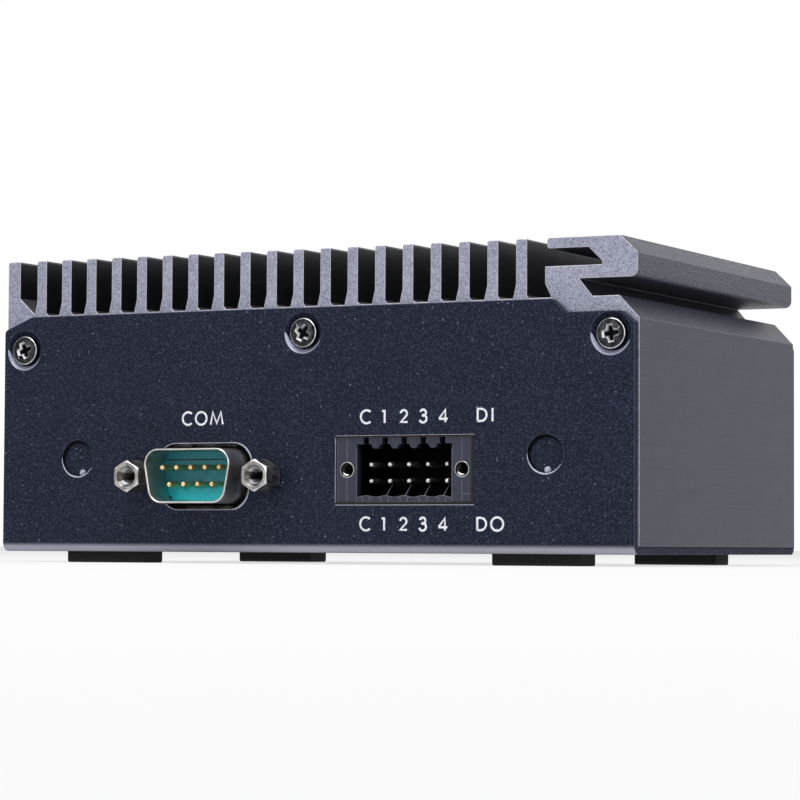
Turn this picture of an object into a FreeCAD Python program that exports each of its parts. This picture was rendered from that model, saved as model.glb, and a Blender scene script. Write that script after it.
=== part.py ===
import FreeCAD, Part
import math
import os
import Sketcher

# Fanless industrial computer: an extruded aluminium heat-sink housing closed by one folded steel
# sheet that makes the front panel, the floor and the rear panel.
#
# Chassis coordinates, used throughout: x from the middle of the case, positive to the right as the
# serial port and the terminal header are looked at; y from the outer face of the front panel into
# the case; z from the underside of the folded sheet. place() moves everything to the part's frame,
# whose origin is on the floor under the middle of the overall box, with +Z up.

PARTS_FOLDER = "parts"

# name, millimetres (or a count), what it measures
SIZES = [
    ("depth", 73.0, "front panel face to rear panel face"),
    ("sheet", 1.2, "folded sheet thickness"),
    ("bend_radius", 0.3, "inner radius of the two bends"),
    ("panel_inset", 0.3, "each side of the sheet inside the housing's side"),
    ("panel_top", 40.8, "top edge of the two panels"),
    ("seam_gap", 0.1, "housing to the sheet below its walls and at both its ends"),
    ("foot_height", 1.9, "rubber foot"),
    ("foot_length", 15.6, "foot along the panel"),
    ("foot_width", 6.0, "foot front to back"),
    ("foot_side", 19.1, "foot centre from the nearer side of the housing"),
    ("foot_y", 6.9, "foot centre from the nearer panel face"),
    ("foot_round", 0.5, "foot's lower edges"),

    ("housing_width", 120.2, "across the side walls"),
    ("side_wall", 2.5, "side wall of the extrusion"),
    ("base_top", 41.1, "floor of the channels between the fins"),
    ("base_plate", 4.1, "plate under the fins"),
    ("fin_top", 50.7, "top of the fins and of the rail"),
    ("fin_count", 19, "thin fins between the side wall and the rail"),
    ("fin_thickness", 1.92, "thin fin"),
    ("fin_start", 6.08, "left face of the first thin fin from the housing's left side"),
    ("fin_flare", 0.55, "widening of a fin's left foot"),
    ("fin_flare_height", 2.3, "height of that widening"),
    ("fin_root_bevel", 0.45, "bevel at a fin's right foot"),
    ("fin_tip_bevel", 0.25, "bevel of a fin's top corners"),
    ("gusset_height", 3.1, "slope inside the left side wall"),
    ("gusset_run", 3.36, "width of that slope"),
    ("chamfer_run", 3.44, "sloped shoulder of the right side, across"),
    ("chamfer_drop", 3.65, "sloped shoulder of the right side, down"),

    ("rail_reach", 16.4, "left end of the rail's arm from the housing's right side"),
    ("rail_drawn_height", 9.6, "fin height that the rail's heights are drawn for"),
    ("lip_setback", 0.35, "top lip's end behind the arm's end"),
    ("lip_thickness", 1.7, "top lip"),
    ("upper_slot", 2.9, "height of the slot under the lip"),
    ("slot_nose_run", 2.35, "slope at the blind end of the upper slot, across"),
    ("slot_nose_drop", 2.3, "slope at the blind end of the upper slot, down"),
    ("slot_depth", 7.25, "upper slot to the start of that slope"),
    ("arm_thickness", 2.7, "arm's end under the upper slot"),
    ("arm_foot_run", 1.1, "slope from the arm's end to the channel floor"),
    ("lower_slot", 2.9, "height of the slot under the slab"),
    ("lower_slot_depth", 10.46, "blind end of the lower slot from the housing's right side"),
    ("lower_slot_run", 2.36, "slope at the blind end of the lower slot"),
    ("slab_setback", 0.3, "right side of the slab inside the housing's right side"),
    ("slab_chamfer_run", 3.0, "slope of the slab's top right edge, across"),
    ("slab_chamfer_drop", 2.9, "slope of the slab's top right edge, down"),
    ("slab_round", 1.2, "rounding of the slab's lower right edge"),
    ("lip_round", 0.5, "rounding of the lip's end"),

    ("port_side", 4.4, "outer screw ports from the housing's sides"),
    ("port_z", 35.0, "outer screw ports' height"),
    ("middle_port_z", 36.6, "middle screw port's height"),
    ("port_radius", 3.2, "boss round a screw port"),
    ("thread_radius", 1.5, "M3 thread's outer radius"),
    ("thread_gap", 0.05, "screw shank inside its hole"),
    ("clear_hole_radius", 1.7, "M3 clearance hole"),
    ("dimple_radius", 3.55, "screw dimple at the panel's face"),
    ("dimple_floor_radius", 2.75, "screw dimple's floor"),
    ("dimple_depth", 0.9, "screw dimple"),
    ("panel_head_radius", 2.55, "panel screw's head"),
    ("panel_head_height", 0.6, "panel screw's head"),
    ("panel_screw_length", 8.0, "panel screw's shank"),

    ("knockout_side", 15.7, "antenna knock-outs from the housing's sides"),
    ("knockout_z", 16.0, "antenna knock-outs' height"),
    ("knockout_radius", 3.2, "antenna knock-out"),
    ("knockout_depth", 0.5, "how far the knock-out is pressed in"),
    ("knockout_gap", 0.1, "knock-out's disc smaller than its recess"),

    ("left_shoulder_run", 5.7, "sloped corner at the panel's top left"),
    ("left_shoulder_drop", 2.3, "height of that slope"),
    ("step_side", 14.6, "panel's top step from the housing's right side"),
    ("step_run", 2.3, "slope of the step"),
    ("step_drop", 2.2, "drop of the step"),
    ("right_shoulder_run", 2.4, "sloped corner at the panel's top right"),
    ("right_shoulder_drop", 1.9, "height of that slope"),
    ("corner_round", 0.8, "panel's soft corners"),

    ("base_hole_x", 90.0, "spacing of the base mounting threads across"),
    ("base_hole_y", 40.0, "spacing of the base mounting threads front to back"),
    ("nut_across", 5.5, "weld nut across flats"),
    ("nut_height", 2.4, "weld nut"),

    ("board_side", 5.1, "main board's edges from the housing's sides"),
    ("board_front", 3.0, "main board's front edge from the front panel's face"),
    ("board_rear", 3.0, "main board's rear edge from the rear panel's face"),
    ("board_thickness", 1.6, "main board"),
    ("board_top", 6.4, "main board's upper face"),
    ("board_screw_edge", 5.0, "board screws from the board's edges"),
    ("spacer_across", 5.0, "hexagonal spacer across flats"),
    ("board_head", 5.5, "hexagonal head of the inner screws across flats"),
    ("board_head_height", 1.8, "hexagonal head of the inner screws"),
    ("board_shank", 3.8, "board screw's shank below its head"),

    ("serial_x", -18.9, "serial port from the middle"),
    ("serial_z", 12.78, "serial port's height"),
    ("shell_width", 17.6, "D-shaped shell across its wide side"),
    ("shell_height", 9.2, "D-shaped shell"),
    ("shell_slant", 1.6, "each side's lean over that height"),
    ("shell_round", 2.6, "shell's corners"),
    ("shell_wall", 0.45, "shell's sheet"),
    ("shell_proud", 6.0, "shell in front of the panel"),
    ("serial_gap", 1.0, "panel cut-out round the shell"),
    ("flange_width", 30.8, "connector flange behind the panel"),
    ("flange_height", 12.5, "connector flange behind the panel"),
    ("flange_thickness", 0.8, "connector flange"),
    ("insulator_gap", 0.05, "insulator inside the shell"),
    ("insulator_width", 21.5, "insulator's block behind the flange"),
    ("insulator_depth", 9.0, "insulator's block behind the flange"),
    ("pin_radius", 0.5, "serial pin"),
    ("pin_pitch", 2.77, "serial pins along a row"),
    ("pin_row", 2.84, "serial rows"),
    ("pin_tip", 4.9, "serial pin's tip in front of the panel face"),
    ("pin_gap", 0.03, "serial pin in the insulator"),
    ("pin_shank", 0.7, "serial pin's square shank and tail"),
    ("tail_gap", 1.0, "first row of tails behind a connector"),
    ("header_tail_row", 2.0, "second row of the header's tails behind the first"),
    ("jack_spacing", 24.99, "jack screw to jack screw"),
    ("jack_across", 4.76, "jack screw across flats"),
    ("jack_length", 5.0, "jack screw's hexagon"),
    ("jack_thread", 1.42, "4-40 thread's outer radius"),
    ("jack_bore_depth", 4.2, "jack screw's thread"),
    ("jack_shank", 3.6, "jack screw's shank through panel and flange"),

    ("header_x", 18.95, "terminal header from the middle"),
    ("header_z", 13.7, "terminal header's height"),
    ("header_width", 24.9, "terminal header"),
    ("header_height", 10.7, "terminal header"),
    ("header_gap", 0.25, "panel cut-out round the header"),
    ("header_recess", 0.2, "header's face behind the panel's face"),
    ("header_depth", 12.0, "header front to back"),
    ("header_step", 2.0, "header's foot starts behind the panel face"),
    ("poles", 5, "poles in a row"),
    ("pole_pitch", 3.5, "pole to pole"),
    ("header_roof", 1.14, "header's upper wall"),
    ("header_floor", 0.95, "header's lower wall"),
    ("header_cavity", 9.0, "header's cavity"),
    ("key_slot", 1.04, "slot in the upper wall over each pole"),
    ("tongue_radius", 0.75, "rounded key under the upper wall"),
    ("upper_pin_z", 14.6, "upper row of header pins"),
    ("lower_pin_z", 11.85, "lower row of header pins"),
    ("header_pin", 0.9, "header pin's side"),
    ("header_pin_tip", 2.2, "header pins' tips behind the header's face"),
    ("bush_spacing", 21.1, "threaded bushes in the header"),
    ("bush_radius", 1.35, "threaded bush"),
    ("bush_thread", 1.0, "threaded bush's bore"),
    ("bush_length", 6.0, "threaded bush"),
    ("press_gap", 0.02, "threaded bush in its seat"),

    ("column_front", 17.0, "heat block's column from the front panel's face"),
    ("column_gap", 0.8, "heat block's column to the network jacks"),
    ("column_width", 34.0, "heat block's column across"),
    ("shoulder_width", 60.0, "heat block's top flange across"),
    ("shoulder_lip", 4.0, "heat block's top flange beyond the column, front and back"),
    ("shoulder_height", 6.0, "heat block's top flange"),
    ("port_gap", 0.3, "groove in the heat block round the middle screw port"),
    ("block_screw_side", 4.0, "heat block's screws from the flange's ends"),
    ("block_thread_depth", 3.0, "threads in the plate under the fins"),
    ("block_shank", 8.6, "heat block screw's shank"),
    ("package_side", 22.0, "processor's carrier"),
    ("package_height", 1.2, "processor's carrier"),
    ("die_side", 13.0, "processor's die"),
    ("die_height", 0.8, "processor's die"),
    ("pad_side", 18.0, "thermal pad"),
    ("pad_height", 0.5, "thermal pad"),

    ("memory_x", -20.5, "memory chips from the middle"),
    ("memory_length", 12.0, "memory chip front to back"),
    ("memory_width", 9.0, "memory chip across"),
    ("memory_pitch", 14.0, "memory chip to memory chip"),
    ("chip_height", 1.1, "memory and interface chips"),
    ("isolator_count", 4, "isolators behind the terminal header"),
    ("isolator_gap", 5.0, "isolators behind the terminal header"),
    ("isolator_pitch", 3.9, "isolator to isolator"),
    ("isolator_width", 3.4, "isolator across"),
    ("isolator_depth", 4.2, "isolator front to back"),
    ("isolator_height", 2.1, "isolator"),
    ("inductor_gap", 3.2, "inductors from the solid-state drive"),
    ("inductor_space", 1.0, "first inductor behind the isolators"),
    ("inductor_side", 6.6, "inductor"),
    ("inductor_height", 3.0, "inductor"),
    ("inductor_pitch", 8.0, "inductor to inductor"),
    ("capacitor_radius", 2.5, "polymer capacitor"),
    ("capacitor_height", 5.8, "polymer capacitor"),
    ("capacitor_pitch", 7.0, "capacitor to capacitor"),
    ("cell_x", -36.5, "coin cell from the middle"),
    ("cell_y", 24.0, "coin cell from the panel face"),
    ("cell_radius", 10.0, "coin cell"),
    ("cell_height", 3.2, "coin cell"),
    ("holder_wall", 1.0, "coin cell holder"),
    ("cell_gap", 0.15, "coin cell in its holder"),
    ("ssd_side", 0.4, "solid-state drive from the main board's right edge"),
    ("ssd_front", 14.0, "drive socket's front from the panel face"),
    ("ssd_width", 22.0, "solid-state drive"),
    ("ssd_length", 30.0, "solid-state drive"),
    ("ssd_thickness", 0.8, "solid-state drive's board"),
    ("ssd_lift", 2.6, "solid-state drive above the board"),
    ("ssd_chip_side", 8.0, "chips on the solid-state drive"),
    ("ssd_chip_pitch", 10.0, "chips on the solid-state drive"),
    ("ssd_chip_gap", 2.0, "first chip from the drive's socket"),
    ("ssd_chip_height", 1.2, "chips on the solid-state drive"),
    ("socket_depth", 6.4, "drive socket"),
    ("socket_height", 4.2, "drive socket"),
    ("socket_grip", 4.0, "drive's edge in its socket"),
    ("socket_gap", 0.05, "drive's edge in its socket, above and below"),

    ("connector_inset", 0.2, "rear connectors behind the rear panel's face"),
    ("connector_gap", 0.3, "rear panel cut-outs round the connectors"),
    ("row_margin", 2.75, "ends of the connector row from the board screws"),
    ("lan_width", 16.0, "network jack"),
    ("lan_height", 13.4, "network jack"),
    ("lan_depth", 21.0, "network jack"),
    ("lan_mouth_width", 11.8, "plug opening"),
    ("lan_mouth_height", 7.6, "plug opening"),
    ("lan_mouth_depth", 13.0, "plug opening"),
    ("lan_mouth_floor", 3.6, "plug opening above the board"),
    ("lan_latch_width", 5.2, "latch notch"),
    ("lan_latch_height", 1.6, "latch notch"),
    ("contact_count", 8, "contacts in a network jack"),
    ("contact_pitch", 1.02, "network contacts"),
    ("contact_side", 0.4, "network contact"),
    ("contact_length", 7.0, "network contact"),
    ("usb_width", 13.2, "stacked sockets"),
    ("usb_height", 15.6, "stacked sockets"),
    ("usb_depth", 17.5, "stacked sockets"),
    ("usb_wall", 0.4, "stacked sockets' sheet"),
    ("usb_mouth_height", 5.2, "one socket"),
    ("usb_cavity_depth", 12.0, "one socket"),
    ("usb_tongue_width", 10.2, "socket's tongue"),
    ("usb_tongue_height", 1.84, "socket's tongue"),
    ("usb_tongue_length", 11.0, "socket's tongue"),
    ("video_width", 15.0, "video socket"),
    ("video_height", 6.0, "video socket"),
    ("video_depth", 11.5, "video socket"),
    ("video_wall", 0.4, "video socket's sheet"),
    ("video_chamfer", 1.6, "video socket's lower corners"),
    ("video_cavity_depth", 8.5, "video socket"),
    ("video_tongue_width", 10.6, "video socket's tongue"),
    ("video_tongue_height", 1.4, "video socket's tongue"),
    ("video_tongue_length", 7.5, "video socket's tongue"),
    ("power_width", 9.0, "power jack"),
    ("power_height", 11.0, "power jack"),
    ("power_depth", 14.2, "power jack"),
    ("power_bore", 3.15, "power jack's bore"),
    ("power_bore_depth", 9.5, "power jack's bore"),
    ("power_pin", 1.0, "power jack's centre pin"),

    ("button_z", 13.0, "power button's height"),
    ("button_radius", 3.0, "power button's cap"),
    ("button_proud", 1.0, "power button beyond the rear panel"),
    ("button_gap", 0.2, "power button in its hole"),
    ("button_collar_radius", 3.9, "power button's collar inside the panel"),
    ("button_collar", 0.8, "power button's collar"),
    ("collar_gap", 0.1, "power button's collar to the panel"),
    ("button_travel", 0.5, "power button's stroke"),
    ("stem_radius", 1.2, "power button's stem"),
    ("stem_gap", 0.15, "stem in the switch"),
    ("stem_insert", 0.6, "stem in the switch at rest"),
    ("switch_side", 6.2, "power switch across"),
    ("switch_depth", 4.0, "power switch front to back"),
    ("switch_space", 1.4, "switch's face behind the button's collar"),
]

document = FreeCAD.newDocument("FanlessComputer")
sheet_table = document.addObject("Spreadsheet::Sheet", "sizes")
nodes = []


class Size:
    """A length known both as a number and as the sheet formula that gives it."""

    def __init__(self, value, formula):
        self.value = value
        self.formula = formula

    def __add__(self, other):
        other = as_size(other)
        return Size(self.value + other.value, f"({self.formula} + {other.formula})")

    def __sub__(self, other):
        other = as_size(other)
        return Size(self.value - other.value, f"({self.formula} - {other.formula})")

    def __mul__(self, other):
        other = as_size(other)
        return Size(self.value * other.value, f"({self.formula} * {other.formula})")

    def __truediv__(self, other):
        other = as_size(other)
        return Size(self.value / other.value, f"({self.formula} / {other.formula})")

    def __neg__(self):
        return Size(-self.value, f"(0 - {self.formula})")

    def __radd__(self, other):
        return as_size(other) + self

    def __rsub__(self, other):
        return as_size(other) - self

    def __rmul__(self, other):
        return as_size(other) * self


def as_size(item):
    """Turn a bare number into a Size and leave a Size as it is."""
    if isinstance(item, Size):
        return item
    return Size(float(item), f"({float(item)})")


class SizeTable:
    """Reads a named size from the spreadsheet as table.name."""

    def __getattr__(self, alias):
        value = float(sheet_table.get(alias))
        return Size(value, f"sizes.{alias}")


def fill_sheet():
    """Write every driving size into the spreadsheet, one row each."""
    for row, (alias, value, meaning) in enumerate(SIZES, start=1):
        sheet_table.set(f"A{row}", alias)
        sheet_table.set(f"B{row}", str(value))
        sheet_table.set(f"C{row}", meaning)
        sheet_table.setAlias(f"B{row}", alias)
    document.recompute()


fill_sheet()
table = SizeTable()

# Sizes that follow from the driving ones.
front_y = (table.shell_proud - table.button_proud - table.depth) / 2
housing_start = table.sheet + table.seam_gap
housing_length = table.depth - 2 * housing_start
half_housing = table.housing_width / 2
half_panel = half_housing - table.panel_inset
base_underside = table.base_top - table.base_plate
port_x = half_housing - table.port_side
knockout_x = half_housing - table.knockout_side
step_start = half_housing - table.step_side
rail_left = half_housing - table.rail_reach
slab_right = half_housing - table.slab_setback
fin_pitch = (rail_left + half_housing - table.fin_start) / table.fin_count
rail_scale = (table.fin_top - table.base_top) / table.rail_drawn_height

half_board = half_housing - table.board_side
board_depth = table.depth - table.board_front - table.board_rear
board_underside = table.board_top - table.board_thickness
board_screw_x = half_board - table.board_screw_edge
connector_end = table.depth - table.connector_inset
shank_radius = table.thread_radius - table.thread_gap

# Hidden threads, holes and shanks, and pins too small to look round, are many-sided instead.
THREAD_SIDES = 12
PIN_SIDES = 16
CELL_SIDES = 32

column_rear = connector_end - table.lan_depth - table.column_gap
column_depth = column_rear - table.column_front
block_y = (table.column_front + column_rear) / 2
shoulder_depth = column_depth + 2 * table.shoulder_lip
block_screw_x = table.shoulder_width / 2 - table.block_screw_side
ssd_x = half_board - table.ssd_side - table.ssd_width / 2
inductor_x = ssd_x - table.ssd_width / 2 - table.inductor_gap - table.inductor_side / 2

# The rear row: what stands in it from left to right, with equal spaces between.
row_widths = [table.lan_width, table.lan_width, table.usb_width, table.video_width,
              table.power_width, 2 * table.button_collar_radius]
row_end = board_screw_x - table.row_margin
row_gap = (2 * row_end - sum(row_widths)) / (len(row_widths) + 1)
row_centres = []
row_edge = -row_end
for row_width in row_widths:
    row_centres.append(row_edge + row_gap + row_width / 2)
    row_edge = row_centres[-1] + row_width / 2
lan_left_x, lan_right_x, usb_x, video_x, power_x, button_x = row_centres


# ---- placing and binding -------------------------------------------------------------------

def bind(item, **sizes):
    """Tie properties of a document object to sheet formulas."""
    for name, size in sizes.items():
        item.setExpression(name, as_size(size).formula)


def place(item, x=0, y=0, z=0):
    """Put an object at chassis coordinates."""
    spot = (as_size(x), y + front_y, z + table.foot_height)
    for axis, size in zip("xyz", spot):
        item.setExpression(f"Placement.Base.{axis}", size.formula)


def keep(item, label):
    """Name a finished sub-part and put it on the list of nodes."""
    item.Label = label
    nodes.append(item)
    return item


# ---- plain solids --------------------------------------------------------------------------

def block(name, x, y, z, width, depth, height):
    """Box centred on x, from y into the case and from z upwards."""
    box = document.addObject("Part::Box", name)
    bind(box, Length=width, Width=depth, Height=height)
    place(box, as_size(x) - as_size(width) / 2, y, z)
    return box


def cylinder(name, radius, length, x, y, z, along="z"):
    """Cylinder that starts at the given point and runs along +z or +y."""
    rod = document.addObject("Part::Cylinder", name)
    bind(rod, Radius=radius, Height=length)
    if along == "y":
        rod.Placement.Rotation = FreeCAD.Rotation(FreeCAD.Vector(1, 0, 0), -90)
    place(rod, x, y, z)
    return rod


def corner_reach(sides):
    """How much further a regular polygon's corners reach than its flats."""
    return 1 / math.cos(math.pi / sides)


def prism(name, sides, radius, length, x, y, z, along="z"):
    """Regular bar whose corners reach the radius, one of them up when it runs along +y."""
    bar = document.addObject("Part::Prism", name)
    bar.Polygon = sides
    bind(bar, Circumradius=radius, Height=length)
    if along == "y":
        lay_down = FreeCAD.Rotation(FreeCAD.Vector(1, 0, 0), -90)
        bar.Placement.Rotation = lay_down * FreeCAD.Rotation(FreeCAD.Vector(0, 0, 1), 90)
    place(bar, x, y, z)
    return bar


def hexagon(name, across_flats, length, x, y, z, along="z"):
    """Hexagonal bar given by its width across flats."""
    return prism(name, 6, across_flats / 2 * corner_reach(6), length, x, y, z, along)


def thread_hole(name, radius, length, x, y, z, along="z"):
    """Tool for a hidden hole: its flats lie at the radius."""
    reach = radius * corner_reach(THREAD_SIDES)
    return prism(name, THREAD_SIDES, reach, length, x, y, z, along)


def fuse(name, pieces):
    """Join pieces that touch into one solid."""
    joined = document.addObject("Part::MultiFuse", name)
    joined.Shapes = pieces
    joined.Refine = True
    return joined


def cut(name, solid, tools):
    """Take the tools away from a solid."""
    tool = tools[0]
    if len(tools) > 1:
        tool = document.addObject("Part::Compound", f"{name}_tools")
        tool.Links = tools
    result = document.addObject("Part::Cut", name)
    result.Base = solid
    result.Tool = tool
    return result


def group(label, pieces):
    """Several like pieces that share one node and stay separate solids."""
    together = document.addObject("Part::Compound", label)
    together.Links = pieces
    return keep(together, label)


# ---- sketched bodies -----------------------------------------------------------------------

def new_body(label, x=0, y=0, z=0):
    """Empty body at chassis coordinates."""
    body = document.addObject("PartDesign::Body", label)
    place(body, x, y, z)
    return keep(body, label)


def sketch_on(body, name, plane, offset=0):
    """Sketch on one of the body's origin planes, moved along the plane's normal."""
    sketch = body.newObject("Sketcher::SketchObject", name)
    origin_plane = [item for item in body.Origin.OriginFeatures if item.Role == plane][0]
    sketch.AttachmentSupport = [(origin_plane, "")]
    sketch.MapMode = "FlatFace"
    sketch.setExpression("AttachmentOffset.Base.z", as_size(offset).formula)
    return sketch


def pin_point(sketch, element, position, point):
    """Hold one sketch point at its distances from the sketch's origin."""
    for kind, size in zip(("DistanceX", "DistanceY"), point):
        rule = Sketcher.Constraint(kind, -1, 1, element, position, size.value)
        index = sketch.addConstraint(rule)
        sketch.setExpression(f"Constraints[{index}]", size.formula)


def add_outline(sketch, points):
    """Closed outline of straight lines through the given points."""
    points = [(as_size(across), as_size(up)) for across, up in points]
    first = sketch.GeometryCount
    for number, start in enumerate(points):
        end = points[(number + 1) % len(points)]
        start_vector = FreeCAD.Vector(start[0].value, start[1].value, 0)
        end_vector = FreeCAD.Vector(end[0].value, end[1].value, 0)
        sketch.addGeometry(Part.LineSegment(start_vector, end_vector))
    for number in range(len(points)):
        following = first + (number + 1) % len(points)
        sketch.addConstraint(Sketcher.Constraint("Coincident", first + number, 2, following, 1))
    for number, start in enumerate(points):
        pin_point(sketch, first + number, 1, start)


def add_rectangle(sketch, across, up, width, height):
    """Rectangle given by its centre."""
    half_width = as_size(width) / 2
    half_height = as_size(height) / 2
    add_outline(sketch, [
        (across - half_width, up - half_height),
        (across + half_width, up - half_height),
        (across + half_width, up + half_height),
        (across - half_width, up + half_height),
    ])


def add_circle(sketch, radius, across, up):
    """Circle given by its centre."""
    radius = as_size(radius)
    centre = (as_size(across), as_size(up))
    centre_vector = FreeCAD.Vector(centre[0].value, centre[1].value, 0)
    shape = Part.Circle(centre_vector, FreeCAD.Vector(0, 0, 1), radius.value)
    number = sketch.addGeometry(shape)
    index = sketch.addConstraint(Sketcher.Constraint("Radius", number, radius.value))
    sketch.setExpression(f"Constraints[{index}]", radius.formula)
    pin_point(sketch, number, 3, centre)


def add_polygon(sketch, radius, across, up, sides=THREAD_SIDES):
    """Regular polygon given by its centre, with its flats at the radius."""
    reach = radius * corner_reach(sides)
    turns = [2 * math.pi * number / sides for number in range(sides)]
    add_outline(sketch, [
        (across + reach * math.cos(turn), up + reach * math.sin(turn)) for turn in turns
    ])


def pad(body, name, sketch, length, inward=True, midplane=False):
    """Raise a sketch into a solid; inward runs to +y from a sketch on the XZ plane."""
    feature = body.newObject("PartDesign::Pad", name)
    feature.Profile = sketch
    feature.Reversed = inward and not midplane
    if midplane:
        feature.SideType = "Symmetric"
    bind(feature, Length=length)
    document.recompute()
    return feature


def pocket(body, name, sketch, depth=None, outward=False):
    """Cut a sketch into the body, all the way through where no depth is given."""
    before = body.Shape.Volume
    feature = body.newObject("PartDesign::Pocket", name)
    feature.Profile = sketch
    feature.Reversed = outward
    if depth is None:
        feature.Type = "ThroughAll"
    else:
        bind(feature, Length=depth)
    document.recompute()
    if body.Shape.Volume >= before:
        raise RuntimeError(f"{name} cuts nothing")
    return feature


def edges_at(shape, axis, spots, reach=0.02):
    """Names of the straight edges along an axis that pass through the given spots.

    axis is 0, 1 or 2; each spot gives the two other coordinates, None for any.
    """
    others = [number for number in range(3) if number != axis]
    names = []
    for number, edge in enumerate(shape.Edges, start=1):
        if len(edge.Vertexes) != 2:
            continue
        start, end = (vertex.Point for vertex in edge.Vertexes)
        if any(abs(start[other] - end[other]) > reach for other in others):
            continue
        for spot in spots:
            misses = [
                abs(start[other] - as_size(wanted).value)
                for other, wanted in zip(others, spot)
                if wanted is not None
            ]
            if max(misses) < reach:
                names.append(f"Edge{number}")
                break
    return names


def fillet(body, name, radius, axis, spots):
    """Round the edges of the body's last feature that run along an axis through the spots."""
    base = body.Tip
    edges = edges_at(base.Shape, axis, spots)
    if len(edges) < len(spots):
        raise RuntimeError(f"{name} finds {len(edges)} edges for {len(spots)} spots")
    feature = body.newObject("PartDesign::Fillet", name)
    feature.Base = (base, edges)
    bind(feature, Radius=radius)
    document.recompute()
    return feature


# ---- heat-sink housing ---------------------------------------------------------------------

def rail_outline():
    """Z-shaped mounting rail with one slot open to the left and one open to the right."""
    lip_left = rail_left + table.lip_setback
    lip_underside = table.fin_top - table.lip_thickness * rail_scale
    lower_slot_end = half_housing - table.lower_slot_depth
    slot_start = lip_left + table.slot_depth
    arm_top = lip_underside - table.upper_slot * rail_scale
    nose = slot_start + table.slot_nose_run
    slab_underside = table.base_top + table.lower_slot * rail_scale
    return [
        (lip_left, table.fin_top),
        (lip_left, lip_underside),
        (slot_start, lip_underside),
        (nose, lip_underside - table.slot_nose_drop * rail_scale),
        (nose, arm_top),
        (rail_left, arm_top),
        (rail_left, arm_top - table.arm_thickness * rail_scale),
        (rail_left + table.arm_foot_run, table.base_top),
        (lower_slot_end + table.lower_slot_run, table.base_top),
        (lower_slot_end, slab_underside),
        (slab_right, slab_underside),
        (slab_right, table.fin_top - table.slab_chamfer_drop * rail_scale),
        (slab_right - table.slab_chamfer_run, table.fin_top),
    ]


def build_housing():
    """Aluminium extrusion: side walls, finned top plate, mounting rail and screw ports."""
    body = new_body("heatsink_housing", y=housing_start)
    wall_foot = table.sheet + table.seam_gap
    inner = half_housing - table.side_wall

    section = sketch_on(body, "housing_section", "XZ_Plane")
    add_outline(section, [
        (-half_housing, wall_foot),
        (-half_housing, table.fin_top - table.fin_tip_bevel),
        (table.fin_tip_bevel - half_housing, table.fin_top),
        (-inner - table.fin_tip_bevel, table.fin_top),
        (-inner, table.fin_top - table.fin_tip_bevel),
        (-inner, table.base_top + table.gusset_height),
        (table.gusset_run - inner, table.base_top),
        (half_housing - table.chamfer_run, table.base_top),
        (half_housing, table.base_top - table.chamfer_drop),
        (half_housing, wall_foot),
        (inner, wall_foot),
        (inner, base_underside),
        (-inner, base_underside),
        (-inner, wall_foot),
    ])
    pad(body, "housing_walls", section, housing_length)

    fin_left = table.fin_start - half_housing
    fin_right = fin_left + table.fin_thickness
    fin_section = sketch_on(body, "fin_section", "XZ_Plane")
    add_outline(fin_section, [
        (fin_left - table.fin_flare, table.base_top),
        (fin_right + table.fin_root_bevel, table.base_top),
        (fin_right, table.base_top + table.fin_root_bevel),
        (fin_right, table.fin_top - table.fin_tip_bevel),
        (fin_right - table.fin_tip_bevel, table.fin_top),
        (fin_left + table.fin_tip_bevel, table.fin_top),
        (fin_left, table.fin_top - table.fin_tip_bevel),
        (fin_left, table.base_top + table.fin_flare_height),
    ])
    first_fin = pad(body, "first_fin", fin_section, housing_length)
    fins = body.newObject("PartDesign::LinearPattern", "fins")
    fins.Originals = [first_fin]
    fins.Direction = (fin_section, ["H_Axis"])
    fins.Mode = "Spacing"
    bind(fins, Offset=fin_pitch, Occurrences=table.fin_count)
    body.Tip = fins
    document.recompute()

    rail_section = sketch_on(body, "rail_section", "XZ_Plane")
    add_outline(rail_section, rail_outline())
    pad(body, "rail", rail_section, housing_length)

    ports = [
        (-port_x, table.port_z),
        (as_size(0), table.middle_port_z),
        (port_x, table.port_z),
    ]
    port_section = sketch_on(body, "port_section", "XZ_Plane")
    for across, up in ports:
        add_circle(port_section, table.port_radius, across, up)
    pad(body, "screw_ports", port_section, housing_length)
    bore_section = sketch_on(body, "bore_section", "XZ_Plane")
    for across, up in ports:
        add_circle(bore_section, table.thread_radius, across, up)
    pocket(body, "screw_bores", bore_section)

    threads = sketch_on(body, "block_threads", "XY_Plane", base_underside)
    for side in (-1, 1):
        add_polygon(threads, table.thread_radius, side * block_screw_x, block_y - housing_start)
    pocket(body, "block_thread_holes", threads, table.block_thread_depth, outward=True)

    lip_left = rail_left + table.lip_setback
    lip_underside = table.fin_top - table.lip_thickness * rail_scale
    lips = [(lip_left, table.fin_top), (lip_left, lip_underside)]
    fillet(body, "lip_rounding", table.lip_round * rail_scale, 1, lips)
    slab_corner = (slab_right, table.base_top + table.lower_slot * rail_scale)
    fillet(body, "slab_rounding", table.slab_round * rail_scale, 1, [slab_corner])


# ---- folded sheet --------------------------------------------------------------------------

def serial_outline(margin):
    """D shape round the serial port, its corners still sharp, grown by a margin."""
    wide = table.shell_width / 2 + margin
    narrow = wide - table.shell_slant
    half_height = table.shell_height / 2 + margin
    return [
        (table.serial_x - wide, table.serial_z + half_height),
        (table.serial_x + wide, table.serial_z + half_height),
        (table.serial_x + narrow, table.serial_z - half_height),
        (table.serial_x - narrow, table.serial_z - half_height),
    ]


def rear_cutouts():
    """Centre across, centre up, width and height of each rear connector's opening."""
    gap = 2 * table.connector_gap
    connectors = [
        (lan_left_x, table.lan_width, table.lan_height),
        (lan_right_x, table.lan_width, table.lan_height),
        (usb_x, table.usb_width, table.usb_height),
        (video_x, table.video_width, table.video_height),
        (power_x, table.power_width, table.power_height),
    ]
    return [
        (across, table.board_top + height / 2, width + gap, height + gap)
        for across, width, height in connectors
    ]


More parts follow.
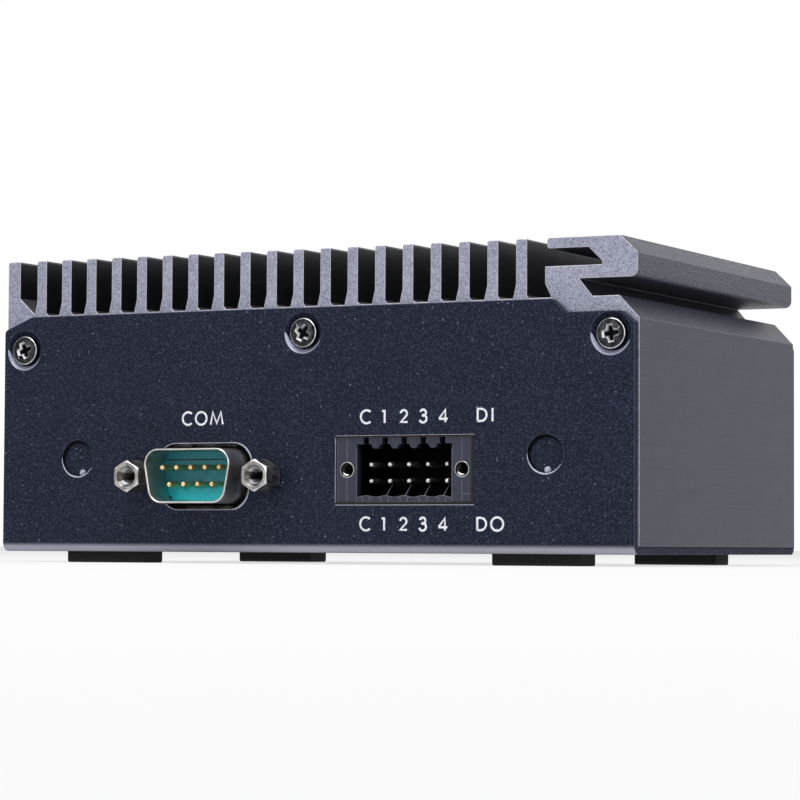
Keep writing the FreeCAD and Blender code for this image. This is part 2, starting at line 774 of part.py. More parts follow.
def build_cover():
    """One folded sheet: front panel, floor and rear panel."""
    body = new_body("chassis_cover")
    side = sketch_on(body, "fold_section", "YZ_Plane")
    add_outline(side, [
        (0, 0),
        (table.depth, 0),
        (table.depth, table.panel_top),
        (table.depth - table.sheet, table.panel_top),
        (table.depth - table.sheet, table.sheet),
        (table.sheet, table.sheet),
        (table.sheet, table.panel_top),
        (0, table.panel_top),
    ])
    pad(body, "fold", side, 2 * half_panel, midplane=True)
    outer_bends = [(0, 0), (table.depth, 0)]
    fillet(body, "outer_bends", table.bend_radius + table.sheet, 0, outer_bends)
    inner_bends = [(table.sheet, table.sheet), (table.depth - table.sheet, table.sheet)]
    fillet(body, "inner_bends", table.bend_radius, 0, inner_bends)

    above = table.panel_top + table.sheet
    beyond = half_panel + table.sheet
    shoulder = table.panel_top - table.step_drop
    corners = sketch_on(body, "panel_corners", "XZ_Plane")
    left_end = table.left_shoulder_run - half_panel
    left_foot = table.panel_top - table.left_shoulder_drop
    add_outline(corners, [
        (-half_panel, left_foot),
        (left_end, table.panel_top),
        (left_end, above),
        (-beyond, above),
        (-beyond, left_foot),
    ])
    step_foot = step_start + table.step_run
    right_end = half_panel - table.right_shoulder_run
    right_foot = shoulder - table.right_shoulder_drop
    add_outline(corners, [
        (step_start, table.panel_top),
        (step_foot, shoulder),
        (right_end, shoulder),
        (half_panel, right_foot),
        (beyond, right_foot),
        (beyond, above),
        (step_start, above),
    ])
    pocket(body, "corner_cuts", corners)
    rounded = [
        (-half_panel, left_foot),
        (left_end, table.panel_top),
        (step_start, table.panel_top),
        (right_end, shoulder),
        (half_panel, right_foot),
    ]
    fillet(body, "corner_rounding", table.corner_round, 1, rounded)

    serial_hole = sketch_on(body, "serial_cutout", "XZ_Plane")
    serial_corners = serial_outline(table.serial_gap)
    add_outline(serial_hole, serial_corners)
    pocket(body, "serial_opening", serial_hole, table.sheet)
    fillet(body, "serial_opening_corners", table.shell_round + table.serial_gap, 1, serial_corners)

    front_holes = sketch_on(body, "front_cutouts", "XZ_Plane")
    for side_sign in (-1, 1):
        across = table.serial_x + side_sign * table.jack_spacing / 2
        add_polygon(front_holes, table.jack_thread + table.thread_gap * 2, across,
                    table.serial_z)
    cutout_width = table.header_width + 2 * table.header_gap
    cutout_height = table.header_height + 2 * table.header_gap
    add_rectangle(front_holes, table.header_x, table.header_z, cutout_width, cutout_height)
    pocket(body, "front_openings", front_holes, table.sheet)

    rear_holes = sketch_on(body, "rear_cutouts", "XZ_Plane", -table.depth)
    for across, up, width, height in rear_cutouts():
        add_rectangle(rear_holes, across, up, width, height)
    button_hole = table.button_radius + table.button_gap
    add_circle(rear_holes, button_hole, button_x, table.button_z)
    pocket(body, "rear_openings", rear_holes, table.sheet, outward=True)

    add_screw_dimples(body)
    add_knockouts(body)

    floor_holes = sketch_on(body, "floor_holes", "XY_Plane", table.sheet)
    for across, along in base_thread_spots():
        add_circle(floor_holes, table.thread_radius, across, along)
    pocket(body, "base_thread_holes", floor_holes, table.sheet)


def panel_screw_spots():
    """Where the three screws of each panel sit."""
    return [
        (-port_x, table.port_z),
        (as_size(0), table.middle_port_z),
        (port_x, table.port_z),
    ]


def add_cone_cut(body, name, spot, radii, height, offset):
    """Conical cut whose axis runs to -y from a plane at the given offset along that axis."""
    cone = body.newObject("PartDesign::SubtractiveCone", name)
    front_plane = [item for item in body.Origin.OriginFeatures if item.Role == "XZ_Plane"][0]
    cone.AttachmentSupport = [(front_plane, "")]
    cone.MapMode = "FlatFace"
    bind(cone, Radius1=radii[0], Radius2=radii[1], Height=height)
    for axis, size in zip("xyz", (*spot, offset)):
        cone.setExpression(f"AttachmentOffset.Base.{axis}", as_size(size).formula)
    document.recompute()


def add_screw_dimples(body):
    """Clearance holes in both panels, each in a conical dimple with a flat floor in front."""
    clearance = sketch_on(body, "screw_clearance", "XZ_Plane")
    for across, up in panel_screw_spots():
        add_polygon(clearance, table.clear_hole_radius, across, up)
    pocket(body, "screw_holes", clearance)
    radii = (table.dimple_floor_radius, table.dimple_radius)
    for number, spot in enumerate(panel_screw_spots(), start=1):
        add_cone_cut(body, f"dimple_{number}", spot, radii, table.dimple_depth,
                     -table.dimple_depth)


def add_knockouts(body):
    """Antenna holes left closed: each disc is sheared part-way inwards in the same sheet."""
    spots = [(-knockout_x, table.knockout_z), (knockout_x, table.knockout_z)]
    discs = sketch_on(body, "knockout_discs", "XZ_Plane", -table.sheet)
    for across, up in spots:
        add_polygon(discs, table.knockout_radius - table.knockout_gap, across, up, CELL_SIDES)
    pad(body, "knockout_bosses", discs, table.knockout_depth)
    rims = sketch_on(body, "knockout_rims", "XZ_Plane")
    for across, up in spots:
        add_circle(rims, table.knockout_radius, across, up)
    pocket(body, "knockout_recesses", rims, table.knockout_depth)


# ---- screws, nuts and feet -----------------------------------------------------------------

def build_panel_screws():
    """Three low-head screws in each panel, sunk in front and standing on the panel behind."""
    for face in ("front", "rear"):
        screws = []
        for number, (across, up) in enumerate(panel_screw_spots(), start=1):
            name = f"{face}_screw_{number}"
            if face == "front":
                head_y = table.dimple_depth - table.panel_head_height
                shank_y = table.dimple_depth
            else:
                head_y = table.depth
                shank_y = table.depth - table.panel_screw_length
            head = cylinder(f"{name}_head", table.panel_head_radius, table.panel_head_height,
                            across, head_y, up, "y")
            shank = prism(f"{name}_shank", THREAD_SIDES, shank_radius,
                          table.panel_screw_length, across, shank_y, up, "y")
            screws.append(fuse(name, [head, shank]))
        group(f"{face}_panel_screws", screws)


def base_thread_spots():
    """Centres of the four mounting threads in the floor."""
    middle = table.depth / 2
    return [
        (across * table.base_hole_x / 2, middle + along * table.base_hole_y / 2)
        for across in (-1, 1)
        for along in (-1, 1)
    ]


def build_base_nuts():
    """Hexagonal weld nuts on the floor, for a wall or rail bracket."""
    nuts = []
    for number, spot in enumerate(base_thread_spots(), start=1):
        name = f"base_nut_{number}"
        bar = hexagon(f"{name}_bar", table.nut_across, table.nut_height, *spot, table.sheet)
        bore = thread_hole(f"{name}_bore", table.thread_radius, table.nut_height, *spot,
                           table.sheet)
        nuts.append(cut(name, bar, [bore]))
    group("base_weld_nuts", nuts)


def build_feet():
    """Four rubber feet, one near each corner of the floor."""
    rows = (("front", table.foot_y), ("rear", table.depth - table.foot_y))
    for row, along in rows:
        for side, sign in (("left", -1), ("right", 1)):
            body = new_body(f"foot_{row}_{side}", sign * (half_housing - table.foot_side), along, 0)
            outline = sketch_on(body, f"foot_{row}_{side}_outline", "XY_Plane")
            add_rectangle(outline, 0, 0, table.foot_length, table.foot_width)
            pad(body, f"foot_{row}_{side}_pad", outline, table.foot_height)
            low = -table.foot_height
            ends = [(table.foot_width / 2, low), (-table.foot_width / 2, low)]
            fillet(body, f"foot_{row}_{side}_long_edges", table.foot_round, 0, ends)


# ---- serial port ---------------------------------------------------------------------------

def build_serial_port():
    """Nine-pin D connector, mounted from behind and held by two jack screws."""
    shell = new_body("serial_shell")
    outline = serial_outline(0)
    rim = sketch_on(shell, "shell_outline", "XZ_Plane", table.shell_proud)
    add_outline(rim, outline)
    pad(shell, "shell_skirt", rim, table.shell_proud + table.sheet)
    flange = sketch_on(shell, "flange_outline", "XZ_Plane", -table.sheet)
    add_rectangle(flange, table.serial_x, table.serial_z, table.flange_width, table.flange_height)
    pad(shell, "flange", flange, table.flange_thickness)
    hollow_outline = serial_outline(-table.shell_wall)
    hollow = sketch_on(shell, "shell_hollow", "XZ_Plane", table.shell_proud)
    add_outline(hollow, hollow_outline)
    depth = table.shell_proud + table.sheet + table.flange_thickness
    pocket(shell, "hollow", hollow, depth)
    fillet(shell, "hollow_corners", table.shell_round - table.shell_wall, 1, hollow_outline)
    fillet(shell, "shell_corners", table.shell_round, 1, outline)
    holes = sketch_on(shell, "flange_holes", "XZ_Plane", -table.sheet)
    for sign in (-1, 1):
        across = table.serial_x + sign * table.jack_spacing / 2
        add_polygon(holes, table.jack_thread + 2 * table.thread_gap, across, table.serial_z)
    pocket(shell, "jack_holes", holes, table.flange_thickness)

    insulator = new_body("serial_insulator")
    nose_outline = serial_outline(-table.shell_wall - table.insulator_gap)
    nose = sketch_on(insulator, "insulator_nose", "XZ_Plane")
    add_outline(nose, nose_outline)
    back = table.sheet + table.flange_thickness
    pad(insulator, "nose", nose, back)
    nose_round = table.shell_round - table.shell_wall
    fillet(insulator, "nose_corners", nose_round, 1, nose_outline)
    rear = sketch_on(insulator, "insulator_block", "XZ_Plane", -back)
    block_top = table.serial_z + table.flange_height / 2
    block_height = block_top - table.board_top
    add_rectangle(rear, table.serial_x, table.board_top + block_height / 2,
                  table.insulator_width, block_height)
    pad(insulator, "block", rear, table.insulator_depth)
    pin_holes = sketch_on(insulator, "pin_holes", "XZ_Plane")
    slot = table.pin_shank + 2 * table.pin_gap
    for across, up, _ in serial_pin_spots():
        add_rectangle(pin_holes, across, up, slot, slot)
    pocket(insulator, "pin_bores", pin_holes)

    pins = []
    for number, (across, up, tail) in enumerate(serial_pin_spots(), start=1):
        name = f"serial_pin_{number}"
        tail_y = back + table.insulator_depth + tail
        side = table.pin_shank
        rod = prism(f"{name}_rod", PIN_SIDES, table.pin_radius, table.pin_tip, across,
                    -table.pin_tip, up, "y")
        shank = block(f"{name}_shank", across, 0, up - side / 2, side, tail_y + side, side)
        leg = block(f"{name}_leg", across, tail_y, table.board_top, side, side,
                    up - table.board_top)
        pins.append(fuse(name, [rod, shank, leg]))
    group("serial_pins", pins)

    screws = []
    for number, sign in enumerate((-1, 1), start=1):
        name = f"jack_screw_{number}"
        across = table.serial_x + sign * table.jack_spacing / 2
        bar = hexagon(f"{name}_hexagon", table.jack_across, table.jack_length, across,
                      -table.jack_length, table.serial_z, "y")
        shank = prism(f"{name}_shank", THREAD_SIDES, table.jack_thread, table.jack_shank,
                      across, 0, table.serial_z, "y")
        bore = cylinder(f"{name}_bore", table.jack_thread, table.jack_bore_depth, across,
                        -table.jack_length, table.serial_z, "y")
        screws.append(cut(name, fuse(f"{name}_solid", [bar, shank]), [bore]))
    group("serial_jack_screws", screws)


def serial_pin_spots():
    """Across, up and tail setback of the nine pins, the row of five on the wide side."""
    spots = []
    for count, sign, tail in ((5, 1, table.tail_gap + table.pin_row), (4, -1, table.tail_gap)):
        up = table.serial_z + sign * table.pin_row / 2
        for number in range(count):
            across = table.serial_x + (number - (count - 1) / 2) * table.pin_pitch
            spots.append((across, up, tail))
    return spots


# ---- terminal header -----------------------------------------------------------------------

def pole_centres():
    """Across position of each pole of the terminal header."""
    count = int(table.poles.value)
    return [
        table.header_x + (number - (count - 1) / 2) * table.pole_pitch
        for number in range(count)
    ]


def build_terminal_header():
    """Two-row header for a plug-in terminal block, with a threaded bush at each end."""
    body = new_body("terminal_header", y=table.header_recess)
    top = table.header_z + table.header_height / 2
    bottom = table.header_z - table.header_height / 2
    face = sketch_on(body, "header_face", "XZ_Plane")
    add_rectangle(face, table.header_x, table.header_z, table.header_width, table.header_height)
    pad(body, "header_front", face, table.header_depth)
    step = table.header_step - table.header_recess
    foot = sketch_on(body, "header_foot", "XZ_Plane", -step)
    foot_height = bottom - table.board_top
    add_rectangle(foot, table.header_x, table.board_top + foot_height / 2, table.header_width,
                  foot_height)
    pad(body, "header_seat", foot, table.header_depth - step)

    cavity_width = table.poles * table.pole_pitch
    ceiling = top - table.header_roof
    floor = bottom + table.header_floor
    cavity = sketch_on(body, "header_cavity_outline", "XZ_Plane")
    add_rectangle(cavity, table.header_x, (ceiling + floor) / 2, cavity_width, ceiling - floor)
    pocket(body, "header_cavity", cavity, table.header_cavity)
    slots = sketch_on(body, "key_slots", "XZ_Plane")
    slot_height = table.header_roof + table.header_floor
    for across in pole_centres():
        add_rectangle(slots, across, top, table.key_slot, 2 * slot_height)
    pocket(body, "keys", slots, table.header_cavity)
    tongues = sketch_on(body, "key_tongues", "XZ_Plane")
    for across in pole_centres()[1:]:
        add_circle(tongues, table.tongue_radius, across - table.pole_pitch / 2, ceiling)
    pad(body, "tongues", tongues, table.header_cavity)
    pins = sketch_on(body, "header_pin_holes", "XZ_Plane", -table.header_cavity)
    for across in pole_centres():
        for up in (table.upper_pin_z, table.lower_pin_z):
            add_rectangle(pins, across, up, table.header_pin + 2 * table.pin_gap,
                          table.header_pin + 2 * table.pin_gap)
    pocket(body, "pin_slots", pins)
    bushes = sketch_on(body, "bush_holes", "XZ_Plane")
    for sign in (-1, 1):
        across = table.header_x + sign * table.bush_spacing / 2
        add_polygon(bushes, table.bush_radius + table.press_gap, across, table.header_z,
                    PIN_SIDES)
    pocket(body, "bush_seats", bushes, table.bush_length)

    solids = []
    back = table.header_recess + table.header_depth
    tip = table.header_recess + table.header_pin_tip
    for row, up in (("upper", table.upper_pin_z), ("lower", table.lower_pin_z)):
        tail = table.tail_gap if row == "lower" else table.tail_gap + table.header_tail_row
        for number, across in enumerate(pole_centres(), start=1):
            name = f"header_pin_{row}_{number}"
            side = table.header_pin
            rod = block(f"{name}_rod", across, tip, up - side / 2, side, back + tail - tip, side)
            leg = block(f"{name}_leg", across, back + tail - side, table.board_top, side, side,
                        up - side / 2 - table.board_top)
            solids.append(fuse(name, [rod, leg]))
    group("terminal_header_pins", solids)

    rings = []
    for number, sign in enumerate((-1, 1), start=1):
        across = table.header_x + sign * table.bush_spacing / 2
        name = f"header_bush_{number}"
        spot = (across, table.header_recess, table.header_z)
        outside = prism(f"{name}_outside", PIN_SIDES, table.bush_radius, table.bush_length,
                        *spot, "y")
        inside = cylinder(f"{name}_inside", table.bush_thread, table.bush_length, *spot, "y")
        rings.append(cut(name, outside, [inside]))
    group("terminal_header_bushes", rings)


# ---- main board and what it carries --------------------------------------------------------

def board_screw_spots():
    """Centres of the four board screws."""
    reach = board_depth / 2 - table.board_screw_edge
    middle = table.board_front + board_depth / 2
    return [
        (across * board_screw_x, middle + along * reach)
        for across in (-1, 1)
        for along in (-1, 1)
    ]


def build_main_board():
    """Printed board on four hexagonal spacers, each with its screw."""
    plate = block("main_board_plate", 0, table.board_front, board_underside, 2 * half_board,
                  board_depth, table.board_thickness)
    holes = []
    spacers = []
    screws = []
    for number, (across, along) in enumerate(board_screw_spots(), start=1):
        holes.append(thread_hole(f"board_hole_{number}", table.clear_hole_radius,
                                 table.board_thickness, across, along, board_underside))
        height = board_underside - table.sheet
        bar = hexagon(f"spacer_{number}_bar", table.spacer_across, height, across, along,
                      table.sheet)
        bore = thread_hole(f"spacer_{number}_bore", table.thread_radius, height, across,
                           along, table.sheet)
        spacers.append(cut(f"spacer_{number}", bar, [bore]))
        head = hexagon(f"board_screw_{number}_head", table.board_head,
                       table.board_head_height, across, along, table.board_top)
        shank = prism(f"board_screw_{number}_shank", THREAD_SIDES, shank_radius,
                      table.board_shank, across, along, table.board_top - table.board_shank)
        screws.append(fuse(f"board_screw_{number}", [head, shank]))
    keep(cut("main_board", plate, holes), "main_board")
    group("board_spacers", spacers)
    group("board_screws", screws)


def build_processor():
    """Processor with its thermal pad and the aluminium block that carries heat to the fins."""
    side = table.package_side
    carrier = block("processor_carrier", 0, block_y - side / 2, table.board_top, side,
                    side, table.package_height)
    die_z = table.board_top + table.package_height
    side = table.die_side
    die = block("processor_die", 0, block_y - side / 2, die_z, side, side, table.die_height)
    keep(fuse("processor", [carrier, die]), "processor")

    pad_z = die_z + table.die_height
    side = table.pad_side
    keep(block("thermal_pad", 0, block_y - side / 2, pad_z, side, side, table.pad_height),
         "thermal_pad")

    block_z = pad_z + table.pad_height
    column = block("heat_block_column", 0, table.column_front, block_z, table.column_width,
                   column_depth, base_underside - table.shoulder_height - block_z)
    shoulder_z = base_underside - table.shoulder_height
    shoulder = block("heat_block_shoulder", 0, block_y - shoulder_depth / 2,
                     shoulder_z, table.shoulder_width, shoulder_depth,
                     table.shoulder_height)
    groove_z = table.middle_port_z - table.port_radius - table.port_gap
    groove = block("heat_block_groove", 0, block_y - shoulder_depth / 2, groove_z,
                   2 * (table.port_radius + table.port_gap), shoulder_depth,
                   base_underside - groove_z)
    holes = [groove]
    screws = []
    for number, side in enumerate((-1, 1), start=1):
        spot = (side * block_screw_x, block_y)
        holes.append(thread_hole(f"block_hole_{number}", table.clear_hole_radius,
                                 table.shoulder_height, *spot, shoulder_z))
        head = hexagon(f"block_screw_{number}_head", table.board_head,
                       table.board_head_height, *spot, shoulder_z - table.board_head_height)
        shank = prism(f"block_screw_{number}_shank", THREAD_SIDES, shank_radius,
                      table.block_shank, *spot, shoulder_z)
        screws.append(fuse(f"block_screw_{number}", [head, shank]))
    keep(cut("heat_block", fuse("heat_block_solid", [column, shoulder]), holes), "heat_block")
    group("heat_block_screws", screws)


def build_chips():
    """Memory, isolators, inductors and capacitors soldered to the main board."""
    top = table.board_top
    memory = []
    for number in (0, 1):
        along = block_y + (number - 0.5) * table.memory_pitch - table.memory_length / 2
        memory.append(block(f"memory_{number + 1}", table.memory_x, along, top,
                            table.memory_width, table.memory_length, table.chip_height))
    group("memory_chips", memory)

    isolator_y = table.header_recess + table.header_depth + table.isolator_gap
    isolators = []
    count = int(table.isolator_count.value)
    for number in range(count):
        across = table.header_x + (number - (count - 1) / 2) * table.isolator_pitch
        isolators.append(block(f"isolator_{number + 1}", across, isolator_y, top,
                               table.isolator_width, table.isolator_depth,
                               table.isolator_height))
    group("isolator_chips", isolators)

    inductors = []
    inductor_y = isolator_y + table.isolator_depth + table.inductor_space
    for number in range(2):
        along = inductor_y + number * table.inductor_pitch
        inductors.append(block(f"inductor_{number + 1}", inductor_x, along, top,
                               table.inductor_side, table.inductor_side, table.inductor_height))
    group("power_inductors", inductors)

    capacitors = []
    capacitor_y = inductor_y + 2 * table.inductor_pitch + table.capacitor_radius
    for number in range(2):
        along = capacitor_y + number * table.capacitor_pitch
        capacitors.append(prism(f"capacitor_{number + 1}", PIN_SIDES, table.capacitor_radius,
                                table.capacitor_height, inductor_x, along, top))
    group("capacitors", capacitors)


def build_clock_cell():
    """Coin cell in its holder."""
    outside = table.cell_radius + table.cell_gap + table.holder_wall
    height = table.holder_wall + table.cell_height
    spot = (table.cell_x, table.cell_y)
    cup = block("cell_holder_frame", table.cell_x, table.cell_y - outside, table.board_top,
                2 * outside, 2 * outside, height)
    hollow = prism("cell_holder_hollow", CELL_SIDES, table.cell_radius + table.cell_gap,
                   table.cell_height, *spot, table.board_top + table.holder_wall)
    keep(cut("cell_holder", cup, [hollow]), "cell_holder")
    keep(prism("clock_cell", CELL_SIDES, table.cell_radius, table.cell_height, *spot,
               table.board_top + table.holder_wall), "clock_cell")


def build_drive():
    """Solid-state drive card, its edge in a socket and its far end on a screwed post."""
    card_z = table.board_top + table.ssd_lift
    socket_end = table.ssd_front + table.socket_depth
    card_y = socket_end - table.socket_grip
    socket = block("drive_socket_block", ssd_x, table.ssd_front, table.board_top,
                   table.ssd_width, table.socket_depth, table.socket_height)
    slot = block("drive_socket_slot", ssd_x, card_y, card_z - table.socket_gap,
                 table.ssd_width, table.socket_grip, table.ssd_thickness + 2 * table.socket_gap)
    keep(cut("drive_socket", socket, [slot]), "drive_socket")

    card = block("drive_card_board", ssd_x, card_y, card_z, table.ssd_width,
                 table.ssd_length, table.ssd_thickness)
    end_y = card_y + table.ssd_length
    notch = thread_hole("drive_card_notch", table.clear_hole_radius, table.ssd_thickness,
                        ssd_x, end_y, card_z)
    board = cut("drive_card_notched", card, [notch])
    chips = []
    for number in (0, 1):
        along = socket_end + table.ssd_chip_gap + number * table.ssd_chip_pitch
        chips.append(block(f"drive_chip_{number + 1}", ssd_x, along,
                           card_z + table.ssd_thickness, table.ssd_chip_side,
                           table.ssd_chip_side, table.ssd_chip_height))
    keep(fuse("drive_card", [board] + chips), "drive_card")

    post = hexagon("drive_post_rod", table.board_head, table.ssd_lift, ssd_x, end_y,
                   table.board_top)
    bore = thread_hole("drive_post_bore", table.thread_radius, table.ssd_lift, ssd_x, end_y,
                       table.board_top)
    keep(cut("drive_post", post, [bore]), "drive_post")
    head = hexagon("drive_screw_head", table.board_head, table.board_head_height,
                   ssd_x, end_y, card_z + table.ssd_thickness)
    shank = prism("drive_screw_shank", THREAD_SIDES, shank_radius,
                  table.ssd_thickness + table.ssd_lift, ssd_x, end_y, table.board_top)
    keep(fuse("drive_screw", [head, shank]), "drive_screw")


# ---- rear connectors -----------------------------------------------------------------------

def build_network_jacks():
    """Two network jacks with their spring contacts."""
    jack_y = connector_end - table.lan_depth
    mouth_y = connector_end - table.lan_mouth_depth
    mouth_z = table.board_top + table.lan_mouth_floor
    for side, across in (("left", lan_left_x), ("right", lan_right_x)):
        name = f"network_jack_{side}"
        shell = block(f"{name}_block", across, jack_y, table.board_top, table.lan_width,
                      table.lan_depth, table.lan_height)
        mouth = block(f"{name}_mouth", across, mouth_y, mouth_z, table.lan_mouth_width,
                      table.lan_mouth_depth, table.lan_mouth_height)
        latch = block(f"{name}_latch", across, mouth_y, mouth_z - table.lan_latch_height,
                      table.lan_latch_width, table.lan_mouth_depth, table.lan_latch_height)
        keep(cut(name, shell, [fuse(f"{name}_opening", [mouth, latch])]), name)
        contacts = []
        contact_z = mouth_z + table.lan_mouth_height - table.contact_side
        count = int(table.contact_count.value)
        for number in range(count):
            offset = (number - (count - 1) / 2) * table.contact_pitch
            contacts.append(block(f"{name}_contact_{number + 1}", across + offset, mouth_y,
                                  contact_z, table.contact_side, table.contact_length,
                                  table.contact_side))
        group(f"network_contacts_{side}", contacts)


def build_usb_sockets():
    """Two stacked sockets in one metal shell, each with its tongue."""
    shell_y = connector_end - table.usb_depth
    shell = block("usb_block", usb_x, shell_y, table.board_top, table.usb_width,
                  table.usb_depth, table.usb_height)
    cavity_y = connector_end - table.usb_cavity_depth
    half = table.usb_height / 2
    mouths = []
    tongues = []
    for number in (0, 1):
        middle = table.board_top + half / 2 + number * half
        mouths.append(block(f"usb_mouth_{number + 1}", usb_x, cavity_y,
                            middle - table.usb_mouth_height / 2,
                            table.usb_width - 2 * table.usb_wall, table.usb_cavity_depth,
                            table.usb_mouth_height))
        tongues.append(block(f"usb_tongue_{number + 1}", usb_x, cavity_y,
                             middle - table.usb_tongue_height / 2, table.usb_tongue_width,
                             table.usb_tongue_length, table.usb_tongue_height))
    keep(cut("usb_shell", shell, mouths), "usb_shell")
    group("usb_tongues", tongues)


def build_video_socket():
    """Video socket: a thin shell with sloped lower corners and a tongue."""
    def outline(margin):
        half_width = table.video_width / 2 - margin
        low = table.board_top + margin
        high = table.board_top + table.video_height - margin
        bevel = table.video_chamfer
        return [
            (video_x - half_width, high),
            (video_x - half_width, low + bevel),
            (video_x - half_width + bevel, low),
            (video_x + half_width - bevel, low),
            (video_x + half_width, low + bevel),
            (video_x + half_width, high),
        ]

    body = new_body("video_shell", y=connector_end - table.video_depth)
    outside = sketch_on(body, "video_outside", "XZ_Plane")
    add_outline(outside, outline(as_size(0)))
    pad(body, "video_solid", outside, table.video_depth)
    inside = sketch_on(body, "video_inside", "XZ_Plane", -table.video_depth)
    add_outline(inside, outline(table.video_wall))
    pocket(body, "video_mouth", inside, table.video_cavity_depth, outward=True)
    middle = table.board_top + table.video_height / 2
    keep(block("video_tongue", video_x, connector_end - table.video_cavity_depth,
               middle - table.video_tongue_height / 2, table.video_tongue_width,
               table.video_tongue_length, table.video_tongue_height), "video_tongue")


def build_power_jack():
    """Round power jack with its centre pin."""
    bore_z = table.board_top + table.power_height / 2
    bore_y = connector_end - table.power_bore_depth
    solid = block("power_jack_block", power_x, connector_end - table.power_depth,
                  table.board_top, table.power_width, table.power_depth, table.power_height)
    bore = cylinder("power_jack_bore", table.power_bore, table.power_bore_depth, power_x,
                    bore_y, bore_z, "y")
    keep(cut("power_jack", solid, [bore]), "power_jack")
    keep(cylinder("power_jack_pin", table.power_pin, table.power_bore_depth, power_x,
                  bore_y, bore_z, "y"), "power_jack_pin")


def build_power_button():
    """Button that slides in the rear panel and works a switch on the board's rear edge."""
    spot = (button_x, table.button_z)
    collar_end = table.depth - table.sheet - table.collar_gap
    collar_start = collar_end - table.button_collar
    switch_face = collar_start - table.switch_space
    cap = cylinder("power_button_cap", table.button_radius,
                   table.depth + table.button_proud - collar_end, spot[0], collar_end, spot[1],
                   "y")
    collar = prism("power_button_collar", PIN_SIDES, table.button_collar_radius,
                   table.button_collar, spot[0], collar_start, spot[1], "y")
    stem_start = switch_face - table.stem_insert
    stem = prism("power_button_stem", THREAD_SIDES, table.stem_radius,
                 collar_start - stem_start, spot[0], stem_start, spot[1], "y")
    keep(fuse("power_button", [cap, collar, stem]), "power_button")

    height = table.button_z + table.switch_side / 2 - table.board_top
    body = block("power_switch_block", spot[0], switch_face - table.switch_depth,
                 table.board_top, table.switch_side, table.switch_depth, height)
    well_depth = table.stem_insert + 2 * table.button_travel
    well = thread_hole("power_switch_well", table.stem_radius + table.stem_gap, well_depth,
                       spot[0], switch_face - well_depth, spot[1], "y")
    keep(cut("power_switch", body, [well]), "power_switch")


# ---- building and writing ------------------------------------------------------------------

def check_and_write():
    """Stop on any failed object or broken solid, then write one STEP file for each node."""
    document.recompute()
    for item in document.Objects:
        if "Invalid" in item.State or "Error" in item.State:
            raise RuntimeError(f"{item.Name} failed: {item.State}")
    os.makedirs(PARTS_FOLDER, exist_ok=True)
    for node in nodes:
        shape = node.Shape
        if shape.isNull() or not shape.isValid() or not shape.Solids:
            raise RuntimeError(f"{node.Label} has no sound solid")
        shape.exportStep(os.path.join(PARTS_FOLDER, f"{node.Label}.step"))
        print(f"{node.Label}: {len(shape.Solids)} solids, {shape.Volume:.1f} mm3")


build_housing()
build_cover()
build_panel_screws()
build_base_nuts()
build_feet()
build_serial_port()
build_terminal_header()
build_main_board()
build_processor()
build_chips()
build_clock_cell()
build_drive()
build_network_jacks()
build_usb_sockets()
build_video_socket()
build_power_jack()
build_power_button()
check_and_write()
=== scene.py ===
"""Dresses the fanless industrial computer: finishes, fasteners, contacts, print, light and camera."""
import logging
import math
from dataclasses import dataclass
from enum import Enum
from typing import ClassVar

import bmesh
import bpy
from mathutils import Matrix, Vector


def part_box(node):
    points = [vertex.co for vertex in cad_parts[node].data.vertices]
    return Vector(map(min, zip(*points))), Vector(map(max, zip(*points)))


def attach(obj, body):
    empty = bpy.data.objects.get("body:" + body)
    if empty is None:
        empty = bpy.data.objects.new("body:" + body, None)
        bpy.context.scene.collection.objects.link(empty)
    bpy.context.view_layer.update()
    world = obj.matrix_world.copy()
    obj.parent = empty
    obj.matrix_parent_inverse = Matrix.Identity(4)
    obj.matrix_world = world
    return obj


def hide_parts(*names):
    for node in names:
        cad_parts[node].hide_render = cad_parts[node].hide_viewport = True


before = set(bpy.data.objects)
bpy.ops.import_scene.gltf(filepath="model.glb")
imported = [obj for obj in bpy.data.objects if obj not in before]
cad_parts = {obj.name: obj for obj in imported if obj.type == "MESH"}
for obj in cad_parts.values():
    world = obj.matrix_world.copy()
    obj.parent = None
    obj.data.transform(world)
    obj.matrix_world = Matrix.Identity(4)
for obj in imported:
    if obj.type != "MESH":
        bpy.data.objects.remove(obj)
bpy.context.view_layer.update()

MM = 0.001
CHASSIS = "chassis"
log = logging.getLogger("industrial_computer")

Colour = tuple[float, float, float, float]
Point = tuple[float, float]
Spot = tuple[float, float, float]
Ring = list[bmesh.types.BMVert]
Socket = bpy.types.NodeSocket


def tint(red: int, green: int, blue: int) -> Colour:
    """Turns a display colour of 0 to 255 into the linear colour that shaders take.

    Args:
        red: Red as a display shows it.
        green: Green as a display shows it.
        blue: Blue as a display shows it.

    Returns:
        The linear colour with full alpha.
    """
    channels = []
    for shown in (red, green, blue):
        part = shown / 255
        channels.append(part / 12.92 if part <= 0.04045 else ((part + 0.055) / 1.055) ** 2.4)
    return (channels[0], channels[1], channels[2], 1.0)


def turns(count: int, start: float = 0.0) -> list[float]:
    """Gives evenly spaced angles round a circle, in radians."""
    return [2 * math.pi * at / count + start for at in range(count)]


def circle(radius: float, height: float, around: list[float]) -> list[Spot]:
    """Gives points at one height round the local z axis, at some angles."""
    return [(radius * math.cos(angle), radius * math.sin(angle), height) for angle in around]


def arc(radius: float, start: int, end: int, step: int = 6) -> list[Vector]:
    """Gives flat points along an arc, from one angle to another in steps, in degrees."""
    return [Vector((math.cos(math.radians(at)), math.sin(math.radians(at)))) * radius
            for at in range(start, end + 1, step)]


def raised(points: list[Point], height: float) -> list[Spot]:
    """Gives flat points at a height."""
    return [(x, y, height) for x, y in points]


def show(name: str, data: bpy.types.ID) -> bpy.types.Object:
    """Adds an object to the scene."""
    item = bpy.data.objects.new(name, data)
    bpy.context.scene.collection.objects.link(item)
    return item


